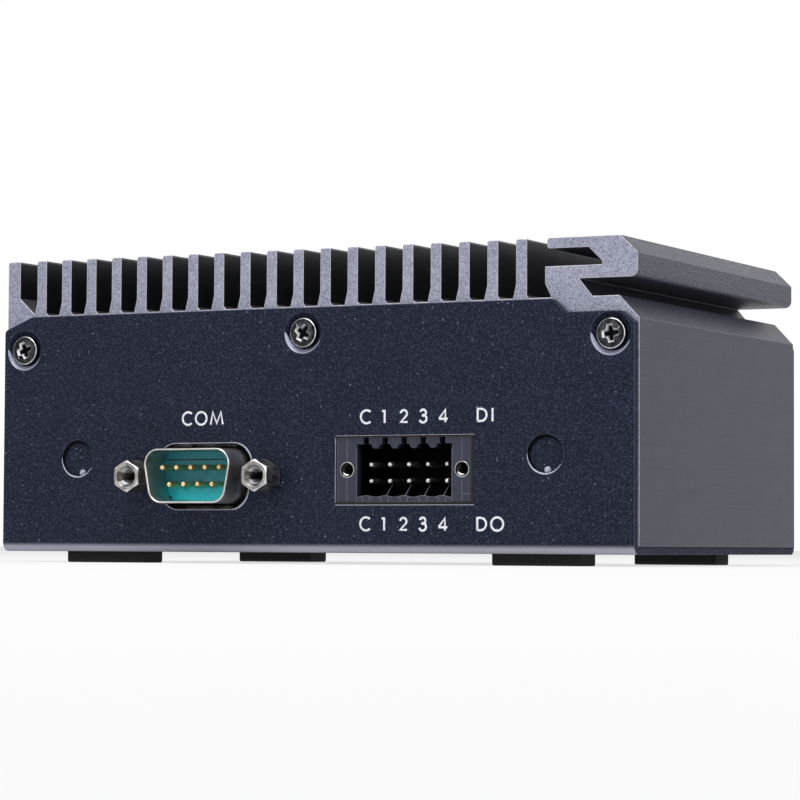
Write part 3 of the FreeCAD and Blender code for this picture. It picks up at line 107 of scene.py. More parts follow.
class Panel(Enum):
    """The two punched panels of the cover."""

    FRONT = "front"
    REAR = "rear"


class Slot(Enum):
    """The record's material slots."""

    ANODISED = "anodised_aluminium"
    POWDER = "powder_coat"
    BLACK_SCREW = "black_screw"
    ZINC = "zinc_steel"
    NICKEL = "nickel"
    GOLD = "gold"
    TIN = "tin"
    TEAL = "teal_plastic"
    HEADER = "header_plastic"
    BLACK_PLASTIC = "black_plastic"
    RUBBER = "rubber"
    BOARD = "circuit_board"
    CHIP = "chip"
    BLOCK = "block_aluminium"
    PAD = "pad_grey"


# ---------------------------------------------------------------- finishes


class Nodes:
    """A node tree, with short ways to add and join nodes."""

    def __init__(self, tree: bpy.types.NodeTree) -> None:
        """Empties a tree."""
        self.tree = tree
        tree.nodes.clear()

    def link(self, source: Socket, target: Socket) -> None:
        """Links two sockets."""
        self.tree.links.new(source, target)

    def feed(self, value: object, target: Socket) -> None:
        """Links a socket, or sets a plain number or colour, on a node's input.

        Args:
            value: A socket, a number or a colour.
            target: The input that takes it.
        """
        if isinstance(value, Socket):
            self.link(value, target)
        else:
            target.default_value = value

    def add(self, kind: str, *first: object, **named: object) -> bpy.types.Node:
        """Adds a node.

        Args:
            kind: Its kind, without the prefix that all kinds share.
            first: What its first inputs take, in their order.
            named: What its other inputs take, by name.

        Returns:
            The node.
        """
        node = self.tree.nodes.new(f"ShaderNode{kind}")
        for target, value in zip(node.inputs, first):
            self.feed(value, target)
        for name, value in named.items():
            self.feed(value, node.inputs[name])
        return node

    def span(self, value: Socket, low: float, high: float, to_low: float,
             to_high: float) -> Socket:
        """Maps a value from one span to another, clamped.

        Args:
            value: The value.
            low: Start of the span it comes from.
            high: End of the span it comes from.
            to_low: Result at the start.
            to_high: Result at the end.

        Returns:
            The mapped value.
        """
        return self.add("MapRange", value, low, high, to_low, to_high).outputs["Result"]

    def sum(self, kind: str, first: object, second: object = 0.0, clamp: bool = True) -> Socket:
        """Works out one sum, such as ADD or MULTIPLY.

        Args:
            kind: The sum.
            first: The first value.
            second: The second value, where the sum takes one.
            clamp: Whether the result is kept from 0 to 1.

        Returns:
            The result.
        """
        node = self.add("Math", first, second)
        node.operation = kind
        node.use_clamp = clamp
        return node.outputs["Value"]

    def rays(self, *names: str) -> Socket:
        """Gives 1 for some kinds of rays, as Light Path names them, and 0 for others."""
        path = self.add("LightPath")
        value = path.outputs[names[0]]
        for name in names[1:]:
            value = self.sum("MAXIMUM", value, path.outputs[name], False)
        return value


class Bench(Nodes):
    """A material's node tree, with the patterns that the finishes share."""

    def __init__(self, name: str, rounding: float = 0.0) -> None:
        """Starts a material with a principled shader.

        Args:
            name: The material's name.
            rounding: Radius in metres by which edges look rounded, or 0 for none.
        """
        self.material = bpy.data.materials.new(name)
        self.material.use_nodes = True
        super().__init__(self.material.node_tree)
        self.shader = self.add("BsdfPrincipled")
        self.output = self.add("OutputMaterial", Surface=self.shader.outputs["BSDF"])
        self.place = self.add("TexCoord")
        self.rounded = None
        if rounding > 0:
            bevel = self.add("Bevel", Radius=rounding)
            bevel.samples = 6
            self.rounded = bevel.outputs["Normal"]
            self.link(self.rounded, self.shader.inputs["Normal"])

    def set(self, **values: float) -> None:
        """Sets plain numbers on the shader, with underscores for the spaces in socket names."""
        for name, value in values.items():
            socket = name.replace("_", " ").title().replace("Ior", "IOR")
            self.shader.inputs[socket].default_value = value

    def skin(self, colour: Socket, roughness: Socket) -> None:
        """Links the shader's colour and roughness."""
        self.link(colour, self.shader.inputs["Base Color"])
        self.link(roughness, self.shader.inputs["Roughness"])

    def noise(self, size: float, detail: float = 2.0,
              stretch: Spot = (1, 1, 1)) -> Socket:
        """Adds cloudy noise.

        Args:
            size: Size of one cloud in metres.
            detail: Finer layers on top.
            stretch: Factors along x, y and z; a small one draws the noise out along that axis.

        Returns:
            The noise, from 0 to 1.
        """
        place = self.add("Mapping", Scale=stretch, Vector=self.place.outputs["Object"])
        return self.add("TexNoise", Scale=1 / size, Detail=detail,
                        Vector=place.outputs["Vector"]).outputs["Fac"]

    def cells(self, size: float, output: str = "Distance") -> Socket:
        """Adds a cell pattern.

        Args:
            size: Size of one cell in metres.
            output: Which of the pattern's outputs to use.

        Returns:
            The pattern's output.
        """
        return self.add("TexVoronoi", Scale=1 / size,
                        Vector=self.place.outputs["Object"]).outputs[output]

    def ramp(self, value: Socket,
             stops: list[tuple[float, Colour]]) -> Socket:
        """Turns a value into a colour.

        Args:
            value: The value, from 0 to 1.
            stops: Places along the ramp with their colours.

        Returns:
            The colour.
        """
        node = self.add("ValToRGB", value)
        marks = node.color_ramp.elements
        while len(marks) < len(stops):
            marks.new(0.5)
        for mark, (at, colour) in zip(marks, stops):
            mark.position = at
            mark.color = colour
        return node.outputs["Color"]

    def mix(self, share: object, first: object, second: object,
            kind: str = "MIX") -> Socket:
        """Mixes two colours.

        Args:
            share: Share of the second colour.
            first: The first colour.
            second: The second colour.
            kind: How they mix.

        Returns:
            The mixed colour.
        """
        node = self.add("MixRGB", share, first, second)
        node.blend_type = kind
        return node.outputs["Color"]

    def facing(self, axis: str) -> Socket:
        """Tells how squarely the surface faces along an axis, either way.

        Args:
            axis: X, Y or Z.

        Returns:
            1 where it faces along the axis, 0 where it faces across it.
        """
        split = self.add("SeparateXYZ", self.place.outputs["Normal"])
        return self.sum("ABSOLUTE", split.outputs[axis], clamp=False)

    def along(self, axis: str) -> Socket:
        """Gives the place on the object along one axis, in metres."""
        return self.add("SeparateXYZ", self.place.outputs["Object"]).outputs[axis]

    def edges(self, low: float = 0.985, high: float = 0.9) -> Socket:
        """Finds edges, where the rounded normal leaves the true one.

        Args:
            low: Likeness of the two normals at which an edge begins.
            high: Likeness at which it is full.

        Returns:
            1 on an edge and 0 away from it.
        """
        truth = self.add("NewGeometry")
        product = self.add("VectorMath", truth.outputs["True Normal"], self.rounded)
        product.operation = "DOT_PRODUCT"
        return self.span(product.outputs["Value"], low, high, 0, 1)

    def bump(self, height: Socket, depth: float, strength: float = 1.0) -> None:
        """Raises the surface by a pattern.

        Args:
            height: The pattern, from 0 to 1.
            depth: How high its peaks stand, in metres.
            strength: Share of it that shows.
        """
        node = self.add("Bump", Distance=depth, Strength=strength, Height=height)
        before = self.shader.inputs["Normal"].links
        if before:
            self.link(before[0].from_socket, node.inputs["Normal"])
        self.link(node.outputs["Normal"], self.shader.inputs["Normal"])


@dataclass(frozen=True)
class Finish:
    """A surface finish, which makes its material once."""

    made: ClassVar[dict[str, bpy.types.Material]] = {}
    rounding: ClassVar[float] = 0.0
    name: str

    def lay(self, bench: Bench) -> None:
        """Adds the finish's nodes to a material."""
        raise NotImplementedError

    def material(self) -> bpy.types.Material:
        """Gives the finish's material, made at the first call."""
        if self.name not in Finish.made:
            bench = Bench(self.name, self.rounding)
            self.lay(bench)
            Finish.made[self.name] = bench.material
        return Finish.made[self.name]


@dataclass(frozen=True)
class PowderCoat(Finish):
    """Fine-textured powder coat: dense small specks, a few bright ones as painted glints, and a
    painted highlight on the lower bend.
    """

    rounding: ClassVar[float] = 0.00022
    deep: Colour = tint(17, 22, 38)
    middle: Colour = tint(24, 30, 48)
    light: Colour = tint(35, 42, 62)
    speck: Colour = tint(98, 106, 132)
    glint: Colour = tint(176, 182, 205)
    bend_highlight: Colour = tint(176, 177, 190)
    grain: float = 0.0005
    speck_spacing: float = 0.00027
    glint_spacing: float = 0.0009
    bend_highlight_below: float = 0.0042

    def specks(self, bench: Bench, spacing: float, reach: float, least: float,
               most: float) -> Socket:
        """Scatters specks, each with a strength of its own.

        Args:
            bench: The material that takes them.
            spacing: Distance between neighbouring specks, in metres.
            reach: Radius of a speck, as a share of the spacing.
            least: Share of the specks that stay unseen.
            most: Strength of the strongest.

        Returns:
            The strength of the speck, 0 between specks.
        """
        near = bench.span(bench.cells(spacing), reach * 0.4, reach, 1, 0)
        pick = bench.add("SeparateColor", bench.cells(spacing, "Color"))
        return bench.sum("MULTIPLY", near, bench.span(pick.outputs["Red"], least, 1.0, 0, most))

    def lay(self, bench: Bench) -> None:
        """Adds mottled colour, specks, painted glints, paler edges that are partly scuffed and partly
        a painted highlight, a painted highlight on the lower bend, and an orange-peel.
        """
        mottle = bench.noise(self.grain, 3)
        cloud = bench.noise(self.grain * 12, 2)
        colour = bench.ramp(mottle, [(0.34, self.deep), (0.52, self.middle), (0.7, self.light)])
        shade = bench.ramp(cloud, [(0.35, tint(232, 232, 238)), (0.65, tint(255, 255, 255))])
        colour = bench.mix(1.0, colour, shade, "MULTIPLY")
        colour = bench.mix(self.specks(bench, self.speck_spacing, 0.46, 0.12, 0.56), colour,
                           self.speck)
        # The brightest specks are painted glints of the coat's grain.
        colour = bench.mix(self.specks(bench, self.glint_spacing, 0.15, 0.6, 0.75), colour,
                           self.glint)
        # Paler edges: partly scuffed coat and partly a painted highlight.
        edge = bench.sum("MULTIPLY", bench.edges(), 0.4)
        colour = bench.mix(edge, colour, tint(124, 128, 146))
        # Painted highlight on the lower bend: paler where the sheet faces down and out, below a
        # height.
        slant = bench.span(bench.sum("MULTIPLY", bench.facing("Y"), bench.facing("Z")),
                           0.06, 0.42, 0, 0.85)
        low = bench.span(bench.along("Z"), self.bend_highlight_below, self.bend_highlight_below + 0.0003, 1, 0)
        colour = bench.mix(bench.sum("MULTIPLY", slant, low), colour, self.bend_highlight)
        bench.skin(colour, bench.span(mottle, 0.3, 0.7, 0.7, 0.52))
        bench.set(specular_ior_level=0.14)
        bench.bump(mottle, 0.00003, 0.8)


@dataclass(frozen=True)
class DrawnAluminium(Finish):
    """Anodised extrusion: drawn faces with lines along it, painted shade between the fins, pale cut
    ends partly blasted and partly painted light.
    """

    rounding: ClassVar[float] = 0.00024
    drawn_dark: Colour = tint(52, 55, 71)
    drawn_pale: Colour = tint(58, 61, 77)
    fleck: Colour = tint(142, 136, 142)
    end_dark: Colour = tint(106, 108, 124)
    end_pale: Colour = tint(168, 171, 188)
    line_width: float = 0.00035
    grain: float = 0.00022
    blasted_from: float = 0.0391
    fins_from: float = 0.0429
    fins_to: float = 0.0445

    def lay(self, bench: Bench) -> None:
        """Adds draw lines, speckle, painted shade between the fins, pale ends with painted light, and
        pale edges partly scuffed and partly a painted highlight.
        """
        lines = bench.noise(self.line_width, 2, (1, 0.012, 1))
        speckle = bench.noise(self.grain, 3)
        cloud = bench.noise(self.grain * 30, 2)
        drawn = bench.ramp(lines, [(0.3, self.drawn_dark), (0.7, self.drawn_pale)])
        # Painted shade: the fins' sides deep between the fins are darkened to near black.
        fin_gap_shade = bench.sum("MULTIPLY", bench.span(bench.along("Z"), self.fins_from,
                                                 self.fins_from + 0.0003, 0, 0.8),
                          bench.span(bench.along("X"), self.fins_to, self.fins_to + 0.0001, 1, 0))
        fin_gap_shade = bench.sum("MULTIPLY", fin_gap_shade, bench.facing("X"))
        drawn = bench.mix(fin_gap_shade, drawn, tint(6, 7, 9))
        flecks = bench.span(bench.noise(self.grain * 1.3, 1), 0.52, 0.68, 0, 0.62)
        flecks = bench.sum("MULTIPLY", flecks, bench.span(fin_gap_shade, 0.0, 0.3, 1, 0))
        above = bench.span(bench.along("Z"), self.blasted_from, self.blasted_from + 0.0006, 0, 1)
        drawn = bench.mix(bench.sum("MULTIPLY", flecks, above), drawn, self.fleck)
        # Cut ends are paler, partly as blasted metal and partly as painted light from the front that
        # they face.
        ends = bench.ramp(speckle, [(0.3, self.end_dark), (0.64, self.end_pale)])
        square = bench.span(bench.facing("Y"), 0.7, 0.95, 0, 1)
        colour = bench.mix(square, drawn, ends)
        shade = bench.ramp(cloud, [(0.3, tint(238, 238, 242)), (0.7, tint(255, 255, 255))])
        colour = bench.mix(1.0, colour, shade, "MULTIPLY")
        # Pale edges, strongest on the cut ends: partly scuffed metal and partly a painted highlight.
        edge = bench.sum("MULTIPLY", bench.edges(0.995, 0.93),
                         bench.span(square, 0, 1, 0.2, 0.85))
        colour = bench.mix(edge, colour, tint(232, 224, 232))
        bench.skin(colour, bench.span(speckle, 0.3, 0.7, 0.5, 0.36))
        bench.set(metallic=0.5, specular_ior_level=0.4)
        height = bench.sum("ADD", bench.sum("MULTIPLY", lines, 0.2),
                           bench.sum("MULTIPLY", speckle, 0.8))
        bench.bump(height, 0.00005, 1.0)


@dataclass(frozen=True)
class PlatedMetal(Finish):
    """Bare or plated metal with faint smears, fine scratches and bright edges, partly scuffed and
    partly a painted highlight.
    """

    rounding: ClassVar[float] = 0.00012
    dull: Colour = tint(150, 150, 155)
    bright: Colour = tint(205, 205, 210)
    smoothest: float = 0.16
    roughest: float = 0.34
    smear: float = 0.0016
    edge_wear_and_highlight: float = 0.5

    def lay(self, bench: Bench) -> None:
        """Adds smears in colour and gloss, and paler edges, partly scuffed and partly a painted
        highlight.
        """
        smear = bench.noise(self.smear, 3)
        scratch = bench.noise(0.0002, 2, (1, 0.08, 1))
        colour = bench.ramp(smear, [(0.3, self.dull), (0.7, self.bright)])
        # Paler edges: partly scuffed metal and partly a painted highlight.
        edge = bench.sum("MULTIPLY", bench.edges(), self.edge_wear_and_highlight)
        colour = bench.mix(edge, colour, tint(236, 236, 240))
        bench.skin(colour, bench.span(smear, 0.3, 0.7, self.smoothest, self.roughest))
        bench.set(metallic=1.0)
        bench.bump(scratch, 0.000006, 0.6)


@dataclass(frozen=True)
class MouldedPlastic(Finish):
    """Moulded plastic with a fine matt grain, darker behind a mouth as painted shade, brighter at a
    foot as painted light.
    """

    rounding: ClassVar[float] = 0.0001
    dark: Colour = tint(26, 26, 30)
    pale: Colour = tint(38, 38, 44)
    wear_and_highlight: Colour = tint(120, 122, 132)
    grain: float = 0.00025
    gloss: float = 0.42
    edge_share: float = 0.35
    mouth: float = 0.0
    foot: Colour | None = None
    foot_span: Point = (0.0, 0.0)

    def lay(self, bench: Bench) -> None:
        """Adds grain, slow colour change, pale edges partly scuffed and partly a painted highlight,
        painted light at a foot and painted shade behind a mouth.
        """
        grain = bench.noise(self.grain, 2)
        flow = bench.noise(0.004, 2, (1, 1, 0.3))
        colour = bench.ramp(bench.sum("ADD", bench.sum("MULTIPLY", grain, 0.45),
                                      bench.sum("MULTIPLY", flow, 0.55)),
                            [(0.35, self.dark), (0.65, self.pale)])
        # Pale edges: partly scuffed and partly a painted highlight.
        edge = bench.sum("MULTIPLY", bench.edges(), self.edge_share)
        colour = bench.mix(edge, colour, self.wear_and_highlight)
        # Painted light: below a height the colour turns to the bright foot colour, as if the lower
        # part were lit.
        if self.foot:
            colour = bench.mix(bench.span(bench.along("Z"), *self.foot_span, 1, 0), colour,
                               self.foot)
        # Painted shade: near black and without gloss deeper than the mouth, in the header's cavity.
        if self.mouth:
            inside = bench.span(bench.along("Y"), self.mouth + 0.0001, self.mouth + 0.002, 0, 1)
            colour = bench.mix(inside, colour, tint(3, 3, 4))
            bench.link(bench.span(inside, 0, 1, 0.4, 0.02),
                       bench.shader.inputs["Specular IOR Level"])
        bench.skin(colour, bench.span(grain, 0.3, 0.7, self.gloss + 0.1, self.gloss - 0.06))
        bench.bump(grain, 0.000026, 0.9)


@dataclass(frozen=True)
class SolderMask(Finish):
    """Circuit board: dark solder mask over copper tracks, with small plated pads."""

    mask: Colour = tint(12, 44, 28)
    track: Colour = tint(22, 74, 44)
    pad: Colour = tint(188, 180, 150)

    def lay(self, bench: Bench) -> None:
        """Adds tracks as thin contour lines and pads at scattered cells."""
        rings = bench.sum("PINGPONG", bench.noise(0.009, 1), 0.03, False)
        line = bench.span(rings, 0.006, 0.012, 1, 0)
        colour = bench.mix(line, self.mask, self.track)
        dot = bench.span(bench.cells(0.0022), 0.16, 0.2, 1, 0)
        colour = bench.mix(dot, colour, self.pad)
        bench.skin(colour, bench.span(dot, 0, 1, 0.38, 0.2))
        bench.bump(line, 0.00003, 0.5)


@dataclass(frozen=True)
class PrintedInk(Finish):
    """Screen-printed ink, slightly uneven over the coat's grain."""

    thin: Colour = tint(206, 208, 218)
    full: Colour = tint(238, 239, 246)

    def lay(self, bench: Bench) -> None:
        """Adds thinner ink over the coat's grain."""
        cover = bench.noise(0.0003, 2)
        colour = bench.ramp(cover, [(0.32, self.thin), (0.55, self.full)])
        bench.skin(colour, bench.span(cover, 0.3, 0.7, 0.6, 0.45))
        bench.bump(cover, 0.00001, 0.6)


@dataclass(frozen=True)
class Palette:
    """Every finish on the computer, by the record's slot."""

    anodised: Finish = DrawnAluminium("anodised_drawn")
    powder: Finish = PowderCoat("navy_powder_coat")
    screw: Finish = PlatedMetal("black_nickel_screw", tint(22, 22, 25), tint(70, 70, 74),
                                0.24, 0.42, 0.0009, 0.3)
    # Bright metal for painted highlights on screw rims, cross walls and jack screw edges.
    painted_highlight: Finish = PlatedMetal("painted_highlight_metal", tint(170, 170, 174), tint(246, 246, 248),
                               0.4, 0.55, 0.0007, 0.8)
    # Dark copy of the nickel: painted shade in the shell's gap, threads and bores; also the button's
    # rim.
    shaded: Finish = PlatedMetal("shaded_nickel", tint(40, 38, 37), tint(118, 114, 110),
                                 0.24, 0.42, 0.0014, 0.5)
    # Near-black steel: painted shade in screw recesses and bores, and painted shadow on the
    # knock-outs' walls.
    shade_steel: Finish = PlatedMetal("painted_shade_steel", tint(10, 11, 15), tint(26, 28, 36),
                                  0.5, 0.7, 0.0009, 0.1)
    # Pale coat: painted highlights on dimple slopes, the opening's edge, burrs and ties.
    wear_and_highlight: Finish = MouldedPlastic("wear_and_highlight_coat", tint(142, 146, 166), tint(190, 194, 214),
                                    tint(226, 228, 238), 0.0003, 0.3, 0.8)
    zinc: Finish = PlatedMetal("zinc_plate", tint(150, 152, 150), tint(196, 200, 204), 0.24, 0.42)
    nickel: Finish = PlatedMetal("bright_nickel", tint(190, 188, 186), tint(218, 216, 214),
                                 0.27, 0.38, 0.0045, 0.5)
    turned: Finish = PlatedMetal("turned_nickel", tint(96, 94, 92), tint(172, 169, 166),
                                 0.34, 0.5, 0.0011, 0.9)
    gold: Finish = PlatedMetal("gold_plate", tint(214, 174, 112), tint(250, 226, 180),
                               0.24, 0.4, 0.0012, 0.3)
    tin: Finish = PlatedMetal("tin_plate", tint(184, 184, 186), tint(232, 232, 234), 0.3, 0.44)
    # The foot colour is painted light on the insulator's lower face.
    teal: Finish = MouldedPlastic("teal_moulding", tint(0, 106, 118), tint(6, 134, 146),
                                  tint(70, 180, 186), 0.0003, 0.5, 0.15, 0.0,
                                  tint(14, 224, 238), (0.0112, 0.0138))
    groove: Finish = MouldedPlastic("teal_groove", tint(0, 16, 22), tint(2, 30, 38),
                                    tint(10, 60, 66), 0.0003, 0.6, 0.1)
    # Its mouth puts painted shade in the header's cavity.
    header: Finish = MouldedPlastic("header_moulding", tint(35, 39, 54), tint(49, 53, 70),
                                    tint(120, 122, 140), 0.0003, 0.55, 0.4, -0.0338)
    # Pale lines: parting lines, and lug edges, arches and ridges with a painted highlight.
    header_highlight_line: Finish = MouldedPlastic("header_parting_line_highlight", tint(86, 88, 104),
                                         tint(118, 120, 138), tint(150, 152, 168))
    black: Finish = MouldedPlastic("black_moulding", tint(8, 8, 10), tint(30, 30, 34),
                                   tint(104, 104, 110), 0.00034, 0.5, 0.5)
    rubber: Finish = MouldedPlastic("foot_rubber", tint(4, 4, 5), tint(11, 11, 12),
                                    tint(30, 30, 32), 0.0004, 0.8, 0.2)
    board: Finish = SolderMask("solder_mask")
    chip: Finish = MouldedPlastic("chip_epoxy", tint(20, 20, 21), tint(34, 34, 35),
                                  tint(70, 70, 72), 0.00018, 0.5, 0.15)
    block: Finish = DrawnAluminium("milled_block", tint(150, 151, 154), tint(186, 187, 190),
                                   tint(210, 211, 214), tint(166, 167, 170),
                                   tint(200, 201, 204))
    pad: Finish = MouldedPlastic("thermal_pad_grey", tint(128, 130, 136), tint(150, 152, 158),
                                 tint(170, 172, 178), 0.0004, 0.7, 0.1)
    ink: Finish = PrintedInk("white_print")
    link_lens: Finish = MouldedPlastic("green_lens", tint(40, 108, 58), tint(66, 140, 80),
                                       tint(150, 210, 160), 0.0004, 0.25, 0.4)
    busy_lens: Finish = MouldedPlastic("amber_lens", tint(176, 120, 34), tint(206, 150, 58),
                                       tint(236, 208, 150), 0.0004, 0.25, 0.4)

    def for_slot(self, slot: Slot) -> Finish:
        """Gives the finish of a record's slot."""
        return {
            Slot.ANODISED: self.anodised, Slot.POWDER: self.powder,
            Slot.BLACK_SCREW: self.screw, Slot.ZINC: self.zinc, Slot.NICKEL: self.nickel,
            Slot.GOLD: self.gold, Slot.TIN: self.tin, Slot.TEAL: self.teal,
            Slot.HEADER: self.header, Slot.BLACK_PLASTIC: self.black,
            Slot.RUBBER: self.rubber, Slot.BOARD: self.board, Slot.CHIP: self.chip,
            Slot.BLOCK: self.block, Slot.PAD: self.pad,
        }[slot]


PALETTE = Palette()


# ---------------------------------------------------------------- mesh work


def panel_place(panel: Panel, across: float, face: float, up: float,
                turn: float = 0.0) -> Matrix:
    """Gives a local frame on a panel: x right and y up as seen facing it, z out of it.

    Args:
        panel: The panel.
        across: Place along x in the row frame, in metres.
        face: Place along y in the row frame, in metres.
        up: Place along z in the row frame, in metres.
        turn: Turn about the outward axis, in radians.

    Returns:
        The matrix from that frame to the row frame.
    """
    side = 1 if panel is Panel.FRONT else -1
    basis = Matrix(((side, 0, 0), (0, 0, -side), (0, 1, 0))).to_4x4()
    spin = Matrix.Rotation(turn, 4, "Z")
    return Matrix.Translation((across, face, up)) @ basis @ spin


class Shape:
    """A mesh being made, in metres and in the row frame."""

    def __init__(self) -> None:
        """Starts an empty mesh."""
        self.mesh = bmesh.new()

    def loop(self, points: list[Spot], place: Matrix) -> Ring:
        """Adds the points of a closed loop.

        Args:
            points: Local points, in metres.
            place: Matrix from local to the row frame.

        Returns:
            The new vertices.
        """
        return [self.mesh.verts.new(place @ Vector(point)) for point in points]

    def band(self, first: Ring, second: Ring, closed: bool = True,
             number: int = 0) -> list[bmesh.types.BMFace]:
        """Joins two loops of equal count with quads.

        Args:
            first: The first loop.
            second: The second loop.
            closed: Whether the last point joins the first.
            number: The faces' material number.

        Returns:
            The new faces.
        """
        count = len(first)
        faces = []
        for at in range(count if closed else count - 1):
            after = (at + 1) % count
            faces.append(self.mesh.faces.new((first[at], first[after], second[after],
                                              second[at])))
            faces[-1].material_index = number
        return faces

    def tube(self, loops: list[Ring], number: int = 0) -> None:
        """Joins loops in their order with quads."""
        for first, second in zip(loops, loops[1:]):
            self.band(first, second, number=number)

    def cap(self, loop: Ring, flip: bool = False, number: int = 0) -> None:
        """Closes a loop with one face."""
        face = self.mesh.faces.new(reversed(loop) if flip else loop)
        face.material_index = number

    def fill(self, *loops: Ring) -> None:
        """Fills between an outer loop and the holes in it, all in one plane."""
        edges = []
        for loop in loops:
            for at, vert in enumerate(loop):
                after = loop[(at + 1) % len(loop)]
                found = self.mesh.edges.get((vert, after))
                edges.append(found or self.mesh.edges.new((vert, after)))
        bmesh.ops.triangle_fill(self.mesh, use_beauty=True, edges=edges)

    def lathe(self, profile: list[Point], place: Matrix, count: int = 32) -> None:
        """Turns a profile of (radius, height) about the local z axis.

        Args:
            profile: Radius and height of each ring, in metres; a radius of 0 closes it.
            place: Matrix from local to the row frame.
            count: Points round a ring.
        """
        rings = [self.loop(circle(radius, height, turns(count)) if radius > 0
                           else [(0, 0, height)], place) for radius, height in profile]
        for first, second in zip(rings, rings[1:]):
            if len(first) == 1:
                self.fan(first[0], second)
            elif len(second) == 1:
                self.fan(second[0], first)
            else:
                self.band(first, second)

    def fan(self, tip: bmesh.types.BMVert, ring: Ring) -> None:
        """Joins a point to a ring with triangles."""
        for at, vert in enumerate(ring):
            self.mesh.faces.new((tip, vert, ring[(at + 1) % len(ring)]))

    def ribbon(self, points: list[Vector], place: Matrix, width: float, thickness: float,
               number: int = 0) -> None:
        """Adds a flat ribbon along points.

        Args:
            points: Points along its middle, in the local x and y, in metres.
            place: Matrix from local to the row frame.
            width: The ribbon's width.
            thickness: How far it stands off the local z of 0.
            number: Its faces' material number.
        """
        sides = [[], [], [], []]
        for at, here in enumerate(points):
            into = (here - points[at - 1]).normalized() if at else None
            away = (points[at + 1] - here).normalized() if at + 1 < len(points) else None
            into, away = into or away, away or into
            first = Vector((-into.y, into.x))
            middle = first + Vector((-away.y, away.x))
            middle = middle.normalized() if middle.length > 0.2 else first
            reach = width / 2 / max(0.6, middle.dot(first))
            for side, (way, lift) in enumerate(((1, 0), (1, 1), (-1, 1), (-1, 0))):
                spot = here + middle * reach * way
                sides[side].append((spot.x, spot.y, thickness * lift))
        loops = [self.loop(side, place) for side in sides]
        for first, second in zip(loops, loops[1:] + loops[:1]):
            self.band(first, second, closed=False, number=number)
        for end in (0, -1):
            self.cap([loop[end] for loop in loops], number=number)

    def extrude(self, outline: list[Point], left: float, right: float) -> None:
        """Draws an outline in y and z out along x.

        Args:
            outline: Its points, in metres and in the row frame.
            left: Where it starts along x.
            right: Where it ends.
        """
        still = Matrix.Identity(4)
        ends = [self.loop([(across, y, z) for y, z in outline], still)
                for across in (left, right)]
        self.band(*ends)
        self.cap(ends[0], flip=True)
        self.cap(ends[1])

    def bead(self, points: list[Vector], sizes: list[float], place: Matrix) -> None:
        """Adds a low round bead along points.

        Args:
            points: Points along its middle, in the local x and y, in metres.
            sizes: Half its width at each point.
            place: Matrix from local to the row frame.
        """
        rings = []
        for at, (here, size) in enumerate(zip(points, sizes)):
            way = points[min(at + 1, len(points) - 1)] - points[max(at - 1, 0)]
            out = Vector((way.y, -way.x)).normalized()
            ring = []
            for corner in range(8):
                lean = math.pi * corner / 4
                spot = here + out * size * math.cos(lean)
                ring.append((spot.x, spot.y, size * math.sin(lean) * 0.7))
            rings.append(self.loop(ring, place))
        self.tube(rings)
        self.cap(rings[0])
        self.cap(rings[-1], flip=True)

    def piece(self, name: str, finishes: list[Finish], slot: Slot,
              smooth_below: float = 35.0, body: str = CHASSIS) -> bpy.types.Object:
        """Turns the mesh into a finished piece of the scene.

        Args:
            name: The piece's name.
            finishes: Its finishes, in the order of the faces' material numbers.
            slot: The record's slot; not used.
            smooth_below: Angle in degrees below which neighbouring faces look smooth.
            body: The body that it rides on.

        Returns:
            The piece.
        """
        bmesh.ops.remove_doubles(self.mesh, verts=self.mesh.verts, dist=1e-7)
        bmesh.ops.recalc_face_normals(self.mesh, faces=self.mesh.faces)
        data = bpy.data.meshes.new(name)
        self.mesh.to_mesh(data)
        self.mesh.free()
        for finish in finishes:
            data.materials.append(finish.material())
        data.shade_smooth()
        data.set_sharp_from_angle(angle=math.radians(smooth_below))
        item = show(name, data)
        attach(item, body)
        log.info("made %s with %d faces", name, len(data.polygons))
        return item


@dataclass
class Assembly:
    """A sub-assembly: the CAD nodes that it keeps and dresses, and the pieces that it makes."""

    def dress(self, nodes: dict[str, Slot]) -> None:
        """Gives CAD nodes their finishes.

        Args:
            nodes: Node names with the slots that they take.
        """
        for name, slot in nodes.items():
            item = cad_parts[name]
            finish = PALETTE.for_slot(slot).material()
            for index in range(len(item.data.materials)):
                item.data.materials[index] = finish
            log.info("dressed %s as %s", name, slot.value)

    def build(self) -> None:
        """Makes and dresses the sub-assembly."""
        raise NotImplementedError


# ---------------------------------------------------------------- sub-assemblies


@dataclass
class Housing(Assembly):
    """The finned extrusion."""

    def build(self) -> None:
        """Dresses the extrusion."""
        self.dress({"heatsink_housing": Slot.ANODISED})


@dataclass
class ChassisCover(Assembly):
    """The folded sheet cover with its rubber feet and weld nuts."""

    def build(self) -> None:
        """Dresses the cover, its feet and nuts."""
        self.dress({"chassis_cover": Slot.POWDER, "base_weld_nuts": Slot.ZINC})
        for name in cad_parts:
            if name.startswith("foot_"):
                self.dress({name: Slot.RUBBER})


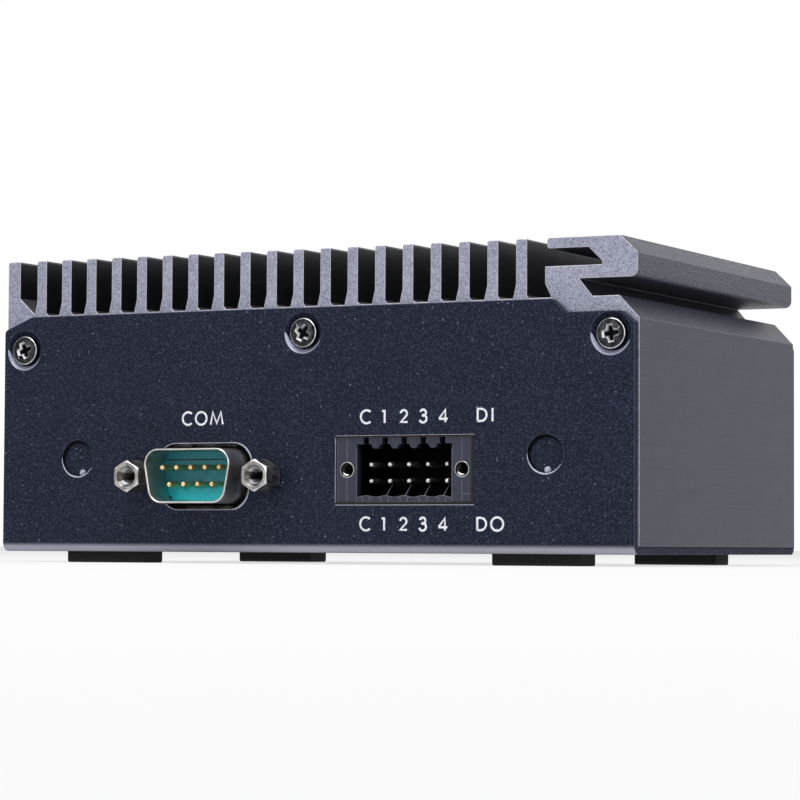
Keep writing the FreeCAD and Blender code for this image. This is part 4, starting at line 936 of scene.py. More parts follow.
@dataclass
class PanelScrews(Assembly):
    """Cross-head screws sunk in the panels' dimples."""

    head_radius: float = 2.55 * MM
    head_height: float = 0.6 * MM
    rim: float = 0.3 * MM
    crown: float = 0.22 * MM
    arm: float = 1.45 * MM
    arm_half: float = 0.42 * MM
    recess: float = 1.0 * MM
    proud: float = 0.55 * MM
    dimple: Spot = (3.55 * MM, 2.75 * MM, 0.9 * MM)
    shank_radius: float = 1.45 * MM
    shank_length: float = 7.0 * MM
    turns: tuple[float, ...] = (0.35, 1.02, 0.12)
    highlight_from: float = 176.0
    highlight_sweep: float = 166.0
    segments: int = 48

    def cross(self, arm: float, half: float, height: float, place: Matrix, shape: Shape) -> Ring:
        """Adds a cross-shaped loop.

        Args:
            arm: Length of an arm.
            half: Half an arm's width.
            height: Local z of the loop.
            place: Matrix from local to the row frame.
            shape: The mesh that takes it.

        Returns:
            The loop's vertices.
        """
        points = []
        for quarter in range(4):
            spin = Matrix.Rotation(quarter * math.pi / 2, 3, "Z")
            for x, y in ((arm, -half), (arm, half), (half * 1.35, half * 1.35)):
                points.append(tuple(spin @ Vector((x, y, height))))
        return shape.loop(points, place)

    def screw(self, shape: Shape, place: Matrix, head: float) -> None:
        """Adds one screw, with one wall of its cross left black and one sliver beside it bright.

        Args:
            shape: The mesh that takes it.
            place: Matrix from the head's top to the row frame.
            head: The head's height.
        """
        around = turns(self.segments)
        outer = self.head_radius
        rings = [shape.loop(circle(radius, height, around), place) for radius, height in (
            (self.shank_radius, -head - self.shank_length), (self.shank_radius, -head),
            (outer, -head), (outer, -self.rim - self.crown),
            (outer - self.rim * 0.35, -self.crown - self.rim * 0.3),
            (outer - self.rim * 0.75, -self.crown))]
        shape.tube(rings[:5])
        shape.cap(rings[0], flip=True)
        inner = outer - self.rim
        shelf = shape.loop(circle(inner * 0.8, -self.crown * 0.3, around), place)
        shape.band(rings[-1], shelf)
        mouth = self.cross(self.arm, self.arm_half * 1.15, -self.crown * 0.3, place, shape)
        shape.fill(shelf, mouth)
        shape.mesh.faces.ensure_lookup_table()
        shape.mesh.faces[-1].material_index = 1
        throat = self.cross(self.arm * 0.8, self.arm_half * 0.66,
                            -self.crown - 0.25 * self.recess, place, shape)
        floor = self.cross(self.arm * 0.42, self.arm_half * 0.6, -self.crown - self.recess,
                           place, shape)
        # The cross's walls and the head's rim take a painted highlight, the cross's floor painted
        # shade.
        walls = shape.band(mouth, throat, number=1)
        walls[0].material_index = 0
        shape.band(rings[4], rings[5], number=1)
        shape.band(throat, floor, number=2)
        shape.cap(floor, number=2)

    def crescent(self, shape: Shape, place: Matrix) -> None:
        """Adds a painted highlight on the lower left of a dimple's slope, narrowing towards its ends.

        Args:
            shape: The mesh that takes it.
            place: Matrix from the dimple's mouth to the row frame.
        """
        mouth, foot, depth = self.dimple
        steps = 28
        rows = [[], []]
        for step in range(steps + 1):
            turn = math.radians(self.highlight_from + self.highlight_sweep * step / steps)
            reach = 0.06 + 0.9 * math.sin(math.pi * step / steps) ** 0.5
            for row, share in zip(rows, (0.04, reach)):
                radius = mouth + (foot - mouth) * share - 0.02 * MM
                row.append((radius * math.cos(turn), radius * math.sin(turn),
                            -depth * share + 0.02 * MM))
        shape.band(shape.loop(rows[0], place), shape.loop(rows[1], place), closed=False)

    def build(self) -> None:
        """Makes the front and the rear screws, and painted highlights on the slopes of the front
        dimples.
        """
        painted_highlight = Shape()
        for panel, node in ((Panel.FRONT, "front_panel_screws"),
                            (Panel.REAR, "rear_panel_screws")):
            low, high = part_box(node)
            face = low.y if panel is Panel.FRONT else high.y
            side_up = low.z + self.head_radius
            middle_up = high.z - self.head_radius
            edge = high.x - self.head_radius
            shape = Shape()
            spots = ((-edge, side_up), (0.0, middle_up), (edge, side_up))
            proud = self.proud if panel is Panel.FRONT else 0.0
            for (across, up), turn in zip(spots, self.turns):
                self.screw(shape, panel_place(panel, across, face - proud, up, turn),
                           self.head_height + proud)
                if panel is Panel.FRONT:
                    cover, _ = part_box("chassis_cover")
                    self.crescent(painted_highlight, panel_place(panel, across, cover.y, up))
            item = shape.piece(f"{node}_crossed",
                               [PALETTE.screw, PALETTE.painted_highlight, PALETTE.shade_steel],
                               Slot.BLACK_SCREW)
            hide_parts(node)
        # The crescents take the pale coat as a painted highlight.
        painted_highlight.piece("dimple_crescents", [PALETTE.wear_and_highlight], Slot.POWDER, smooth_below=60)


@dataclass
class SerialPort(Assembly):
    """Nine-pin port: shell, insulator, rounded gold pins and threaded jack screws."""

    pin_radius: float = 0.5 * MM
    pitch: float = 2.77 * MM
    row_gap: float = 2.84 * MM
    hexagon: float = 4.76 * MM
    hexagon_length: float = 4.7 * MM
    bore: float = 1.42 * MM
    crest: float = 1.16 * MM
    sink: float = 1.86 * MM
    thread_pitch: float = 0.64 * MM
    thread_turns: int = 6
    thread_start: float = 0.28 * MM
    segments: int = 48
    wide: float = 8.8 * MM
    slant: float = 1.6 * MM
    half_height: float = 4.6 * MM
    corner: float = 2.6 * MM
    corner_steps: int = 12
    wall: float = 0.34 * MM
    flange: Point = (30.8 * MM, 12.5 * MM)
    flange_depth: float = 7.0 * MM
    flange_sheet: float = 0.8 * MM
    opening: float = 1.04 * MM

    def outline(self, margin: float) -> list[Point]:
        """Gives the D shape with round corners, grown by a margin, about its middle.

        Args:
            margin: How far it is grown.

        Returns:
            Its points, anticlockwise.
        """
        wide = self.wide + margin
        narrow = wide - self.slant
        high = self.half_height + margin
        corners = [Vector(spot) for spot in ((wide, high), (-wide, high), (-narrow, -high),
                                             (narrow, -high))]
        radius = self.corner + margin
        points = []
        for at, corner in enumerate(corners):
            back = (corners[at - 1] - corner).normalized()
            ahead = (corners[(at + 1) % 4] - corner).normalized()
            half = back.angle(ahead) / 2
            centre = corner + (back + ahead).normalized() * (radius / math.sin(half))
            start = corner + back * (radius / math.tan(half)) - centre
            sweep = math.pi - 2 * half
            for step in range(self.corner_steps + 1):
                turned = Matrix.Rotation(sweep * step / self.corner_steps, 2) @ start
                points.append(tuple(centre + turned))
        return points

    def shell_place(self, face: float) -> Matrix:
        """Gives the frame on the shell's middle line, at a place along y."""
        low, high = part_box("serial_shell")
        return panel_place(Panel.FRONT, (low.x + high.x) / 2, face, high.z - self.flange[1] / 2)

    def shell(self) -> None:
        """Makes the drawn shell with a rolled lip, a round root and its flange."""
        low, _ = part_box("serial_shell")
        place = self.shell_place(low.y)
        shape = Shape()
        root = -self.flange_depth
        inner = -self.wall
        profile = [(inner, root), (inner, -0.25 * MM), (inner + 0.05 * MM, -0.07 * MM),
                   (inner / 2, 0.0), (-0.05 * MM, -0.07 * MM), (0.0, -0.25 * MM),
                   (0.0, root + 1.0 * MM), (0.1 * MM, root + 0.5 * MM),
                   (0.3 * MM, root + 0.2 * MM), (0.6 * MM, root + 0.05 * MM), (1.0 * MM, root)]
        loops = [shape.loop(raised(self.outline(margin), up), place) for margin, up in profile]
        shape.tube(loops)
        half = self.flange[0] / 2
        tall = self.flange[1] / 2
        plate = [(-half, -tall), (half, -tall), (half, tall), (-half, tall)]
        plates = [shape.loop(raised(plate, up), place) for up in (root, root - self.flange_sheet)]
        shape.fill(plates[0], loops[-1])
        shape.band(plates[0], plates[1])
        back = shape.loop(raised(self.outline(inner), root - self.flange_sheet), place)
        shape.fill(plates[1], back)
        shape.band(back, loops[0])
        # Faces behind a line near the flange take dark nickel: painted shade in the gap round the
        # shell.
        line = low.y + self.flange_depth - 0.55 * MM
        for face in shape.mesh.faces:
            if face.calc_center_median().y > line:
                face.material_index = 1
        item = shape.piece("serial_shell_drawn", [PALETTE.nickel, PALETTE.shaded], Slot.NICKEL,
                           smooth_below=50)
        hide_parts("serial_shell")

    def marks(self) -> None:
        """Makes the insulator's parting groove and its corner mark."""
        face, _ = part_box("serial_insulator")
        place = self.shell_place(face.y)
        shape = Shape()
        for run in (((-8.2, 2.85), (8.2, 2.85)), ((-7.7, -3.4), (-6.5, -3.4), (-6.5, -4.1))):
            points = [Vector(spot) * MM for spot in run]
            shape.ribbon(points, place, 0.2 * MM, 0.02 * MM)
        skirt = [shape.loop(raised(self.outline(-inset * MM), 0.008 * MM), place)
                 for inset in (0.36, 1.4)]
        shape.tube(skirt, number=1)
        shape.piece("serial_insulator_marks", [PALETTE.groove, PALETTE.teal], Slot.TEAL,
                    smooth_below=10)

    def cutout_lip(self) -> None:
        """Makes the rolled edge of the panel's opening, fuller at its right corners."""
        cover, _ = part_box("chassis_cover")
        place = self.shell_place(cover.y)
        points = [Vector(spot) for spot in self.outline(self.opening)]
        sizes = [0.05 * MM] * len(points)
        last = 3 * (self.corner_steps + 1)
        for at in range(self.corner_steps + 1):
            full = (0.05 + 0.1 * math.sin(math.pi * at / self.corner_steps)) * MM
            sizes[at] = sizes[last + at] = full
        shape = Shape()
        shape.bead(points + points[:1], sizes + sizes[:1], place)
        # The rolled edge takes the pale coat: a painted highlight.
        shape.piece("serial_cutout_lip", [PALETTE.wear_and_highlight], Slot.POWDER, smooth_below=60)

    def pins(self) -> None:
        """Makes the nine pins with rounded tips."""
        low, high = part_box("serial_pins")
        middle = (low.x + high.x) / 2
        top = high.z - self.pin_radius
        length = high.y - low.y
        shape = Shape()
        radius = self.pin_radius
        for count, up in ((5, top), (4, top - self.row_gap)):
            for index in range(count):
                across = middle + (index - (count - 1) / 2) * self.pitch
                place = panel_place(Panel.FRONT, across, low.y, up)
                shape.lathe([(0, 0), (radius * 0.38, -0.04 * MM), (radius * 0.72, -0.2 * MM),
                             (radius * 0.93, -0.45 * MM), (radius, -0.75 * MM),
                             (radius, -length), (0, -length)], place, 20)
        item = shape.piece("serial_pins_rounded", [PALETTE.gold], Slot.GOLD, smooth_below=50)
        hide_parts("serial_pins")

    def hex_radius(self, angle: float) -> float:
        """Gives the hexagon's reach at an angle, its corners up and down."""
        step = math.pi / 3
        return self.hexagon / 2 / math.cos((angle % step) - step / 2)

    def jack_screw(self, shape: Shape, place: Matrix, length: float) -> None:
        """Adds one hexagonal jack screw with a threaded bore.

        Args:
            shape: The mesh that takes it.
            place: Matrix from its front face to the row frame.
            length: Its length behind the front face.
        """
        count = self.segments
        shift = math.pi / 6
        around = turns(count, shift)
        flat = self.hexagon / 2 * 0.97
        corners = []
        for angle in around:
            reach = self.hex_radius(angle - shift)
            corners.append((reach, -(reach - flat) * 0.62 - 0.05 * MM, angle))
        chamfer = shape.loop([(r * math.cos(a), r * math.sin(a), h) for r, h, a in corners],
                             place)
        back = shape.loop([(r * math.cos(a), r * math.sin(a), -self.hexagon_length)
                           for r, _, a in corners], place)
        face, lip, shank, end = (
            shape.loop(circle(radius, height, around), place) for radius, height in (
                (flat, 0), (self.sink, 0), (self.bore, -self.hexagon_length),
                (self.bore, -length)))
        shape.band(back, chamfer)
        shape.band(face, lip)
        shape.band(shank, back)
        shape.band(end, shank)
        shape.cap(end, flip=True)
        # The hexagon's chamfer takes a painted highlight.
        shape.band(chamfer, face, number=2)
        ahead = lip
        steps = self.thread_turns * 2
        for step in range(steps + 1):
            points = []
            for at, angle in enumerate(around):
                depth = (step / 2 + at / count) * self.thread_pitch + self.thread_start
                radius = self.bore if step % 2 == 0 else self.crest
                points.append((radius * math.cos(angle), radius * math.sin(angle), -depth))
            thread = shape.loop(points, place)
            # The bore's sides take painted shade; at its top and bottom the thread's turns take a
            # painted highlight and plain metal by turns.
            for quad, angle in zip(shape.band(ahead, thread, number=1), around):
                if abs(math.sin(angle + math.pi / count)) > 0.45:
                    quad.material_index = 2 if step % 2 else 0
            ahead = thread
        shape.cap(ahead, number=1)

    def build(self) -> None:
        """Dresses the insulator, and makes its marks, shell, pins, screws and opening."""
        self.dress({"serial_insulator": Slot.TEAL})
        self.shell()
        self.cutout_lip()
        self.marks()
        self.pins()
        low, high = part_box("serial_jack_screws")
        shape = Shape()
        up = (low.z + high.z) / 2
        for across in (low.x + self.hexagon / 2, high.x - self.hexagon / 2):
            place = panel_place(Panel.FRONT, across, low.y, up)
            self.jack_screw(shape, place, high.y - low.y)
        item = shape.piece("serial_jack_screws_threaded",
                           [PALETTE.turned, PALETTE.shaded, PALETTE.painted_highlight], Slot.NICKEL)
        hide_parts("serial_jack_screws")


@dataclass
class TerminalHeader(Assembly):
    """Plug-in terminal header: parting lines, floor arches, gussets, bushes and tapered pins."""

    poles: int = 5
    pitch: float = 3.5 * MM
    key_slot: float = 1.04 * MM
    floor: float = 0.95 * MM
    line: float = 0.09 * MM
    bush_spacing: float = 21.1 * MM
    bush_radius: float = 1.33 * MM
    bush_mouth: float = 1.2 * MM
    bush_root: float = 1.12 * MM
    bush_crest: float = 0.9 * MM
    thread_pitch: float = 0.5 * MM
    side: float = 0.9 * MM
    ahead: float = 0.6 * MM
    rows: tuple[Point, ...] = ((4.45, 3.0), (7.2, 1.0))
    seam_top: float = 1.9 * MM
    ledge: float = 9.35 * MM
    arch_radius: float = 1.25 * MM
    arch_leg: float = 0.66 * MM
    gusset: Spot = (3.4 * MM, 2.9 * MM, 0.35 * MM)
    height: float = 10.7 * MM
    segments: int = 40

    def spots(self) -> list[float]:
        """Gives the poles' places across, from the header's middle."""
        return [(at - (self.poles - 1) / 2) * self.pitch for at in range(self.poles)]

    def face_place(self) -> Matrix:
        """Gives the frame at the top middle of the header's face."""
        low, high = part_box("terminal_header")
        return panel_place(Panel.FRONT, (low.x + high.x) / 2, low.y, high.z)

    def lines(self) -> None:
        """Makes the parting lines on the face, its bright upper edge and the floor's arches, all pale
        as a painted highlight.
        """
        place = self.face_place()
        low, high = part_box("terminal_header")
        half = (high.x - low.x) / 2
        edge = self.poles * self.pitch / 2
        bush_up = -self.height / 2
        shape = Shape()
        runs = []
        for side in (-1, 1):
            across = side * self.bush_spacing / 2
            reach = self.bush_radius + 0.1 * MM
            runs.append([(across, 0), (across, bush_up + reach)])
            runs.append([(across, bush_up - reach), (across, -self.height)])
            runs.append([(side * edge, -self.seam_top), (side * edge, -self.height)])
            runs.append([(side * (half - 0.05 * MM), 0), (side * (half - 0.05 * MM),
                                                          -self.height)])
        runs.append([(self.bush_spacing / 2, -self.ledge), (half - 0.5 * MM, -self.ledge)])
        stops = [-half]
        for spot in self.spots():
            stops += [spot - self.key_slot / 2, spot + self.key_slot / 2]
        stops.append(half)
        for first, second in zip(stops[::2], stops[1::2]):
            runs.append([(first, -0.06 * MM), (second, -0.06 * MM)])
        for spot in self.spots():
            arch = []
            for step in range(11):
                angle = math.radians(18 * step)
                arch.append((spot + self.arch_radius * math.cos(angle),
                             -self.height + (0.6 + 0.48 * math.sin(angle)) * MM))
            runs.append(arch)
            for across in (spot - self.arch_leg, spot + self.arch_leg):
                runs.append([(across, -self.height), (across, -self.height + 0.75 * MM)])
        runs.append([(-edge, -self.height + 0.05 * MM), (edge, -self.height + 0.05 * MM)])
        for run in runs:
            shape.ribbon([Vector(spot) for spot in run], place, self.line, 0.02 * MM)
        shape.piece("terminal_header_lines", [PALETTE.header_highlight_line], Slot.HEADER, smooth_below=10)

    def surround(self) -> None:
        """Makes painted shadow in the gap round the header, as dark strips, and a painted highlight
        on the shear-cut edge of its opening, as pale strips.
        """
        low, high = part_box("terminal_header")
        cover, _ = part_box("chassis_cover")
        place = panel_place(Panel.FRONT, (low.x + high.x) / 2, cover.y, high.z)
        half = (high.x - low.x) / 2
        foot = -self.height
        shape = Shape()
        left, right = -half - 0.16 * MM, half + 0.16 * MM
        for layer, (first, second, width) in enumerate((
                ((right, 0.2 * MM), (right, foot - 0.4 * MM), 0.56 * MM),
                ((left, foot - 0.17 * MM), (right, foot - 0.17 * MM), 0.46 * MM),
                ((left, 0.06 * MM), (right, 0.06 * MM), 0.3 * MM)), start=3):
            shape.ribbon([Vector(first), Vector(second)], place, width, layer * 0.004 * MM)
        for first, second, width in (
                ((left, foot - 0.46 * MM), (half + 0.4 * MM, foot - 0.46 * MM), 0.09 * MM),
                ((left, 0.26 * MM), (half + 0.4 * MM, 0.26 * MM), 0.05 * MM),
                ((left, -0.1 * MM), (left, foot), 0.08 * MM)):
            shape.ribbon([Vector(first), Vector(second)], place, width, 0.03 * MM, 1)
        shape.piece("terminal_header_surround", [PALETTE.rubber, PALETTE.wear_and_highlight], Slot.POWDER,
                    smooth_below=10)

    def gussets(self) -> None:
        """Makes the thin sloping ribs that hold the lower pins."""
        place = self.face_place()
        shape = Shape()
        foot = -self.height + self.floor
        top = -self.rows[1][0] * MM - self.side / 2
        back, upper, lower = self.gusset
        for spot in self.spots()[1:]:
            sides = [shape.loop([(across, foot, -back), (across, top, -back),
                                 (across, top, -upper), (across, foot, -lower)], place)
                     for across in (spot - 0.06 * MM, spot + 0.06 * MM)]
            shape.band(*sides)
            shape.cap(sides[0])
            shape.cap(sides[1], flip=True)
            # The ridge takes the pale line finish: a painted highlight.
            ridge = [sides[side][at] for side, at in ((0, 2), (0, 3), (1, 3), (1, 2))]
            for face in ridge[0].link_faces:
                if all(vert in face.verts for vert in ridge):
                    face.material_index = 1
        shape.piece("terminal_header_gussets", [PALETTE.header, PALETTE.header_highlight_line],
                    Slot.HEADER, smooth_below=10)

    def square(self, half: float) -> list[Point]:
        """Gives a square ring with cut corners."""
        cut = half * 0.62
        return [(half, -cut), (half, cut), (cut, half), (-cut, half), (-half, cut),
                (-half, -cut), (-cut, -half), (cut, -half)]

    def pins(self) -> None:
        """Makes the tinned pins with tapered tips and legs down to the board."""
        low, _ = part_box("terminal_header_pins")
        face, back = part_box("terminal_header")
        middle = (face.x + back.x) / 2
        shape = Shape()
        for drop, tail in self.rows:
            up = back.z - drop * MM
            length = back.y + tail * MM - low.y + self.ahead
            for spot in self.spots():
                place = panel_place(Panel.FRONT, middle + spot, low.y - self.ahead, up)
                stations = ((0.42, 0.0), (0.68, -0.08), (0.9, -0.36), (0.98, -0.8),
                            (1.0, -1.3))
                rings = [shape.loop(raised(self.square(share * self.side / 2), depth * MM), place)
                         for share, depth in stations]
                rings.append(shape.loop(raised(self.square(self.side / 2), -length), place))
                shape.cap(rings[0])
                shape.cap(rings[-1], flip=True)
                shape.tube(rings)
                stem = Matrix.Translation((middle + spot, back.y + tail * MM - self.side / 2,
                                           low.z))
                legs = [shape.loop(raised(self.square(self.side / 2), rise), stem)
                        for rise in (0.0, up - low.z)]
                shape.band(*legs)
                shape.cap(legs[0], flip=True)
                shape.cap(legs[1])
        item = shape.piece("terminal_header_pins_tapered", [PALETTE.tin], Slot.TIN,
                           smooth_below=50)
        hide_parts("terminal_header_pins")

    def bushes(self) -> None:
        """Makes the two threaded bushes."""
        low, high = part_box("terminal_header_bushes")
        up = (low.z + high.z) / 2
        middle = (low.x + high.x) / 2
        length = high.y - low.y
        shape = Shape()
        count = self.segments
        around = turns(count)
        # A pale bead low in the mouth: a painted highlight.
        turned = arc(self.bush_crest, 205, 295, 9)
        for side in (-1, 1):
            place = panel_place(Panel.FRONT, middle + side * self.bush_spacing / 2, low.y, up)
            spot = place @ Matrix.Translation((0, 0, -0.12 * MM))
            shape.bead(turned, [(0.03 + 0.2 * math.sin(math.pi * at / 10)) * MM
                                for at in range(11)], spot)
            profile = ((self.bush_radius, -length), (self.bush_radius, -0.06 * MM),
                       (self.bush_radius - 0.06 * MM, 0.0), (self.bush_mouth, 0.0))
            rings = [shape.loop(circle(radius, rise, around), place)
                     for radius, rise in profile]
            for step in range(int(length / self.thread_pitch) * 2 - 2):
                radius = self.bush_crest if step % 2 else self.bush_root
                rings.append(shape.loop(
                    [(radius * math.cos(a), radius * math.sin(a),
                      -(step / 2 + at / count) * self.thread_pitch - 0.12 * MM)
                     for at, a in enumerate(around)], place))
            # Deeper than the mouth, the bore takes painted shade: near black and dark nickel by
            # turns, near black at its end.
            for at, (first, second) in enumerate(zip(rings, rings[1:])):
                shape.band(first, second, number=0 if at < 3 else 2 - at % 2)
            shape.cap(rings[0], flip=True)
            shape.cap(rings[-1], number=1)
        item = shape.piece("terminal_header_bushes_threaded",
                           [PALETTE.nickel, PALETTE.shade_steel, PALETTE.shaded], Slot.NICKEL)
        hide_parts("terminal_header_bushes")

    def build(self) -> None:
        """Dresses the header, and makes its surround, lines, gussets, pins and bushes."""
        self.dress({"terminal_header": Slot.HEADER})
        self.surround()
        self.lines()
        self.gussets()
        self.pins()
        self.bushes()


@dataclass
class KnockOuts(Assembly):
    """The two antenna knock-outs: the shear-cut wall in painted shadow, and the burr along the lower
    lip and the tie with a painted highlight.
    """

    spacing: float = 88.8 * MM
    up: float = 16.0 * MM
    radius: float = 3.19 * MM
    depth: float = 0.48 * MM
    lean: float = 0.28 * MM
    burr: float = 0.14 * MM
    tie: float = 0.6 * MM
    tie_turns: tuple[float, ...] = (-72.0, -84.0)
    tilt: float = -62.0
    burr_from: float = 178.0
    burr_sweep: float = 150.0
    segments: int = 64

    def wall(self, shape: Shape, place: Matrix) -> None:
        """Adds the shear-cut wall, wide at the upper left, where the disc is pressed deepest; it
        takes painted shadow.
        """
        around = turns(self.segments)
        tilt = math.radians(self.tilt)
        inner = self.radius - self.lean - 0.03 * MM
        shift = (self.lean * math.cos(tilt), self.lean * math.sin(tilt))
        lip = shape.loop(circle(self.radius, -0.03 * MM, around), place)
        foot = shape.loop([(shift[0] + inner * math.cos(a), shift[1] + inner * math.sin(a),
                            -self.depth) for a in around], place)
        shape.band(lip, foot)

    def lip(self, shape: Shape, place: Matrix) -> None:
        """Adds the burr, thickest at the lower left, as a tapered round bead."""
        steps = 40
        points, sizes = [], []
        for step in range(steps + 1):
            turn = math.radians(self.burr_from + self.burr_sweep * step / steps)
            points.append(Vector((self.radius * math.cos(turn), self.radius * math.sin(turn))))
            sizes.append(self.burr * (0.25 + 0.75 * math.sin(math.pi * step / steps)))
        shape.bead(points, sizes, place)

    def knot(self, shape: Shape, place: Matrix, turn: float) -> None:
        """Adds the tie that still holds the disc, as a low rounded lump."""
        angle = math.radians(turn)
        reach = self.radius - self.tie
        seat = place @ Matrix.Translation((reach * math.cos(angle), reach * math.sin(angle),
                                           -self.depth))
        height = self.depth + 0.05 * MM
        profile = [(self.tie * math.cos(rise), height * math.sin(rise))
                   for rise in (0.0, 0.3, 0.6, 0.9, 1.2)]
        shape.lathe([(0, 0)] + profile + [(0, height)], seat, 24)

    def build(self) -> None:
        """Makes the walls, burrs and ties of both knock-outs."""
        low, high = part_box("chassis_cover")
        middle = (low.x + high.x) / 2
        walls, burrs = Shape(), Shape()
        for side, turn in zip((-1, 1), self.tie_turns):
            place = panel_place(Panel.FRONT, middle + side * self.spacing / 2, low.y,
                                low.z + self.up)
            self.wall(walls, place)
            self.lip(burrs, place)
            self.knot(burrs, place, turn)
        # The wall takes near-black steel as painted shadow; the burr and tie take the pale coat as a
        # painted highlight.
        walls.piece("knockout_walls", [PALETTE.shade_steel], Slot.POWDER)
        burrs.piece("knockout_burrs", [PALETTE.wear_and_highlight], Slot.POWDER, smooth_below=60)


class Glyph(Enum):
    """The plain strokes of each printed sign: its width, then its runs, with cap height 1.

    In a run, two numbers are a point, and five are an arc: its middle, radius, start and end.
    """

    C = (0.80, (((0.5, 0.5, 0.5, 48, 312),),))
    O = (0.98, (((0.5, 0.5, 0.5, 0, 360),),))
    M = (1.08, (((0.0, 0.0), (0.18, 0.98), (0.55, 0.08), (0.92, 0.98), (1.1, 0.0)),))
    D = (0.84, (((0.06, 0.04), (0.06, 0.96), (0.34, 0.96), (0.34, 0.5, 0.46, 90, -90),
                 (0.34, 0.04), (0.06, 0.04)),))
    I = (0.1, (((0.06, 0.0), (0.06, 1.0)),))
    ONE = (0.3, (((0.0, 0.92), (0.22, 0.92), (0.22, 0.0)),))
    TWO = (0.6, (((0.3, 0.69, 0.27, 172, -35), (0.04, 0.05), (0.62, 0.05)),))
    THREE = (0.64, (((0.32, 0.74, 0.24, 165, -80), (0.23, 0.53)),
                    ((0.23, 0.53), (0.32, 0.28, 0.29, 85, -165))))
    FOUR = (0.74, (((0.0, 0.25), (0.74, 0.25)), ((0.54, 0.0), (0.54, 0.94), (0.02, 0.27))))


@dataclass
class Print(Assembly):
    """White port names printed on the front panel."""

    cap: float = 2.5 * MM
    stroke: float = 0.36 * MM
    thickness: float = 0.02 * MM
    upper: float = 22.6 * MM
    lower: float = 5.0 * MM
    drop: float = 0.2 * MM
    first_left: float = -23.4 * MM
    last_left: float = 32.1 * MM
    centres: tuple[float, ...] = (11.9, 15.32, 19.0, 22.53, 26.22)
    signs: tuple[Glyph, ...] = (Glyph.C, Glyph.ONE, Glyph.TWO, Glyph.THREE, Glyph.FOUR)

    def run(self, parts: tuple) -> list[Vector]:
        """Turns one run of points and arcs into points.

        Args:
            parts: The run's parts.

        Returns:
            Points with cap height 1.
        """
        points = []
        for part in parts:
            if len(part) == 2:
                points.append(Vector(part))
                continue
            across, up, radius, start, end = part
            steps = max(8, int(abs(end - start) / 9))
            for step in range(steps + 1):
                angle = math.radians(start + (end - start) * step / steps)
                points.append(Vector((across + radius * math.cos(angle),
                                      up + radius * math.sin(angle))))
        return [p for at, p in enumerate(points) if at == 0 or (p - points[at - 1]).length > 1e-4]

    def sign(self, shape: Shape, glyph: Glyph, left: float, middle: float, face: float) -> float:
        """Adds one sign.

        Args:
            shape: The mesh that takes it.
            glyph: The sign.
            left: Its left edge along x.
            middle: The middle of its height.
            face: The panel's face along y.

        Returns:
            The sign's width.
        """
        width, runs = glyph.value
        scale = self.cap - self.stroke
        place = panel_place(Panel.FRONT, left + self.stroke / 2, face, middle - scale / 2)
        for layer, parts in enumerate(runs, start=4):
            points = [point * scale for point in self.run(parts)]
            shape.ribbon(points, place, self.stroke, self.thickness * layer / 4)
        return width * scale + self.stroke

    def word(self, shape: Shape, glyphs: tuple[Glyph, ...], left: float, middle: float,
             face: float, gap: float) -> None:
        """Adds signs in a row.

        Args:
            shape: The mesh that takes them.
            glyphs: The signs.
            left: Left edge of the first.
            middle: The middle of their height.
            face: The panel's face along y.
            gap: Space between signs.
        """
        for glyph in glyphs:
            left += self.sign(shape, glyph, left, middle, face) + gap

    def build(self) -> None:
        """Makes the print for the serial port and the terminals."""
        low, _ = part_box("chassis_cover")
        face = low.y
        shape = Shape()
        base = low.z
        self.word(shape, (Glyph.C, Glyph.O, Glyph.M), self.first_left, base + self.upper, face,
                  0.5 * MM)
        for middle in (self.upper - self.drop, self.lower - self.drop):
            for centre, glyph in zip(self.centres, self.signs):
                width = glyph.value[0] * (self.cap - self.stroke) + self.stroke
                self.sign(shape, glyph, centre * MM - width / 2, base + middle, face)
        self.word(shape, (Glyph.D, Glyph.I), self.last_left, base + self.upper - self.drop, face,
                  0.5 * MM)
        self.word(shape, (Glyph.D, Glyph.O), self.last_left, base + self.lower - self.drop, face,
                  0.45 * MM)
        shape.piece("port_print", [PALETTE.ink], Slot.POWDER, smooth_below=10)


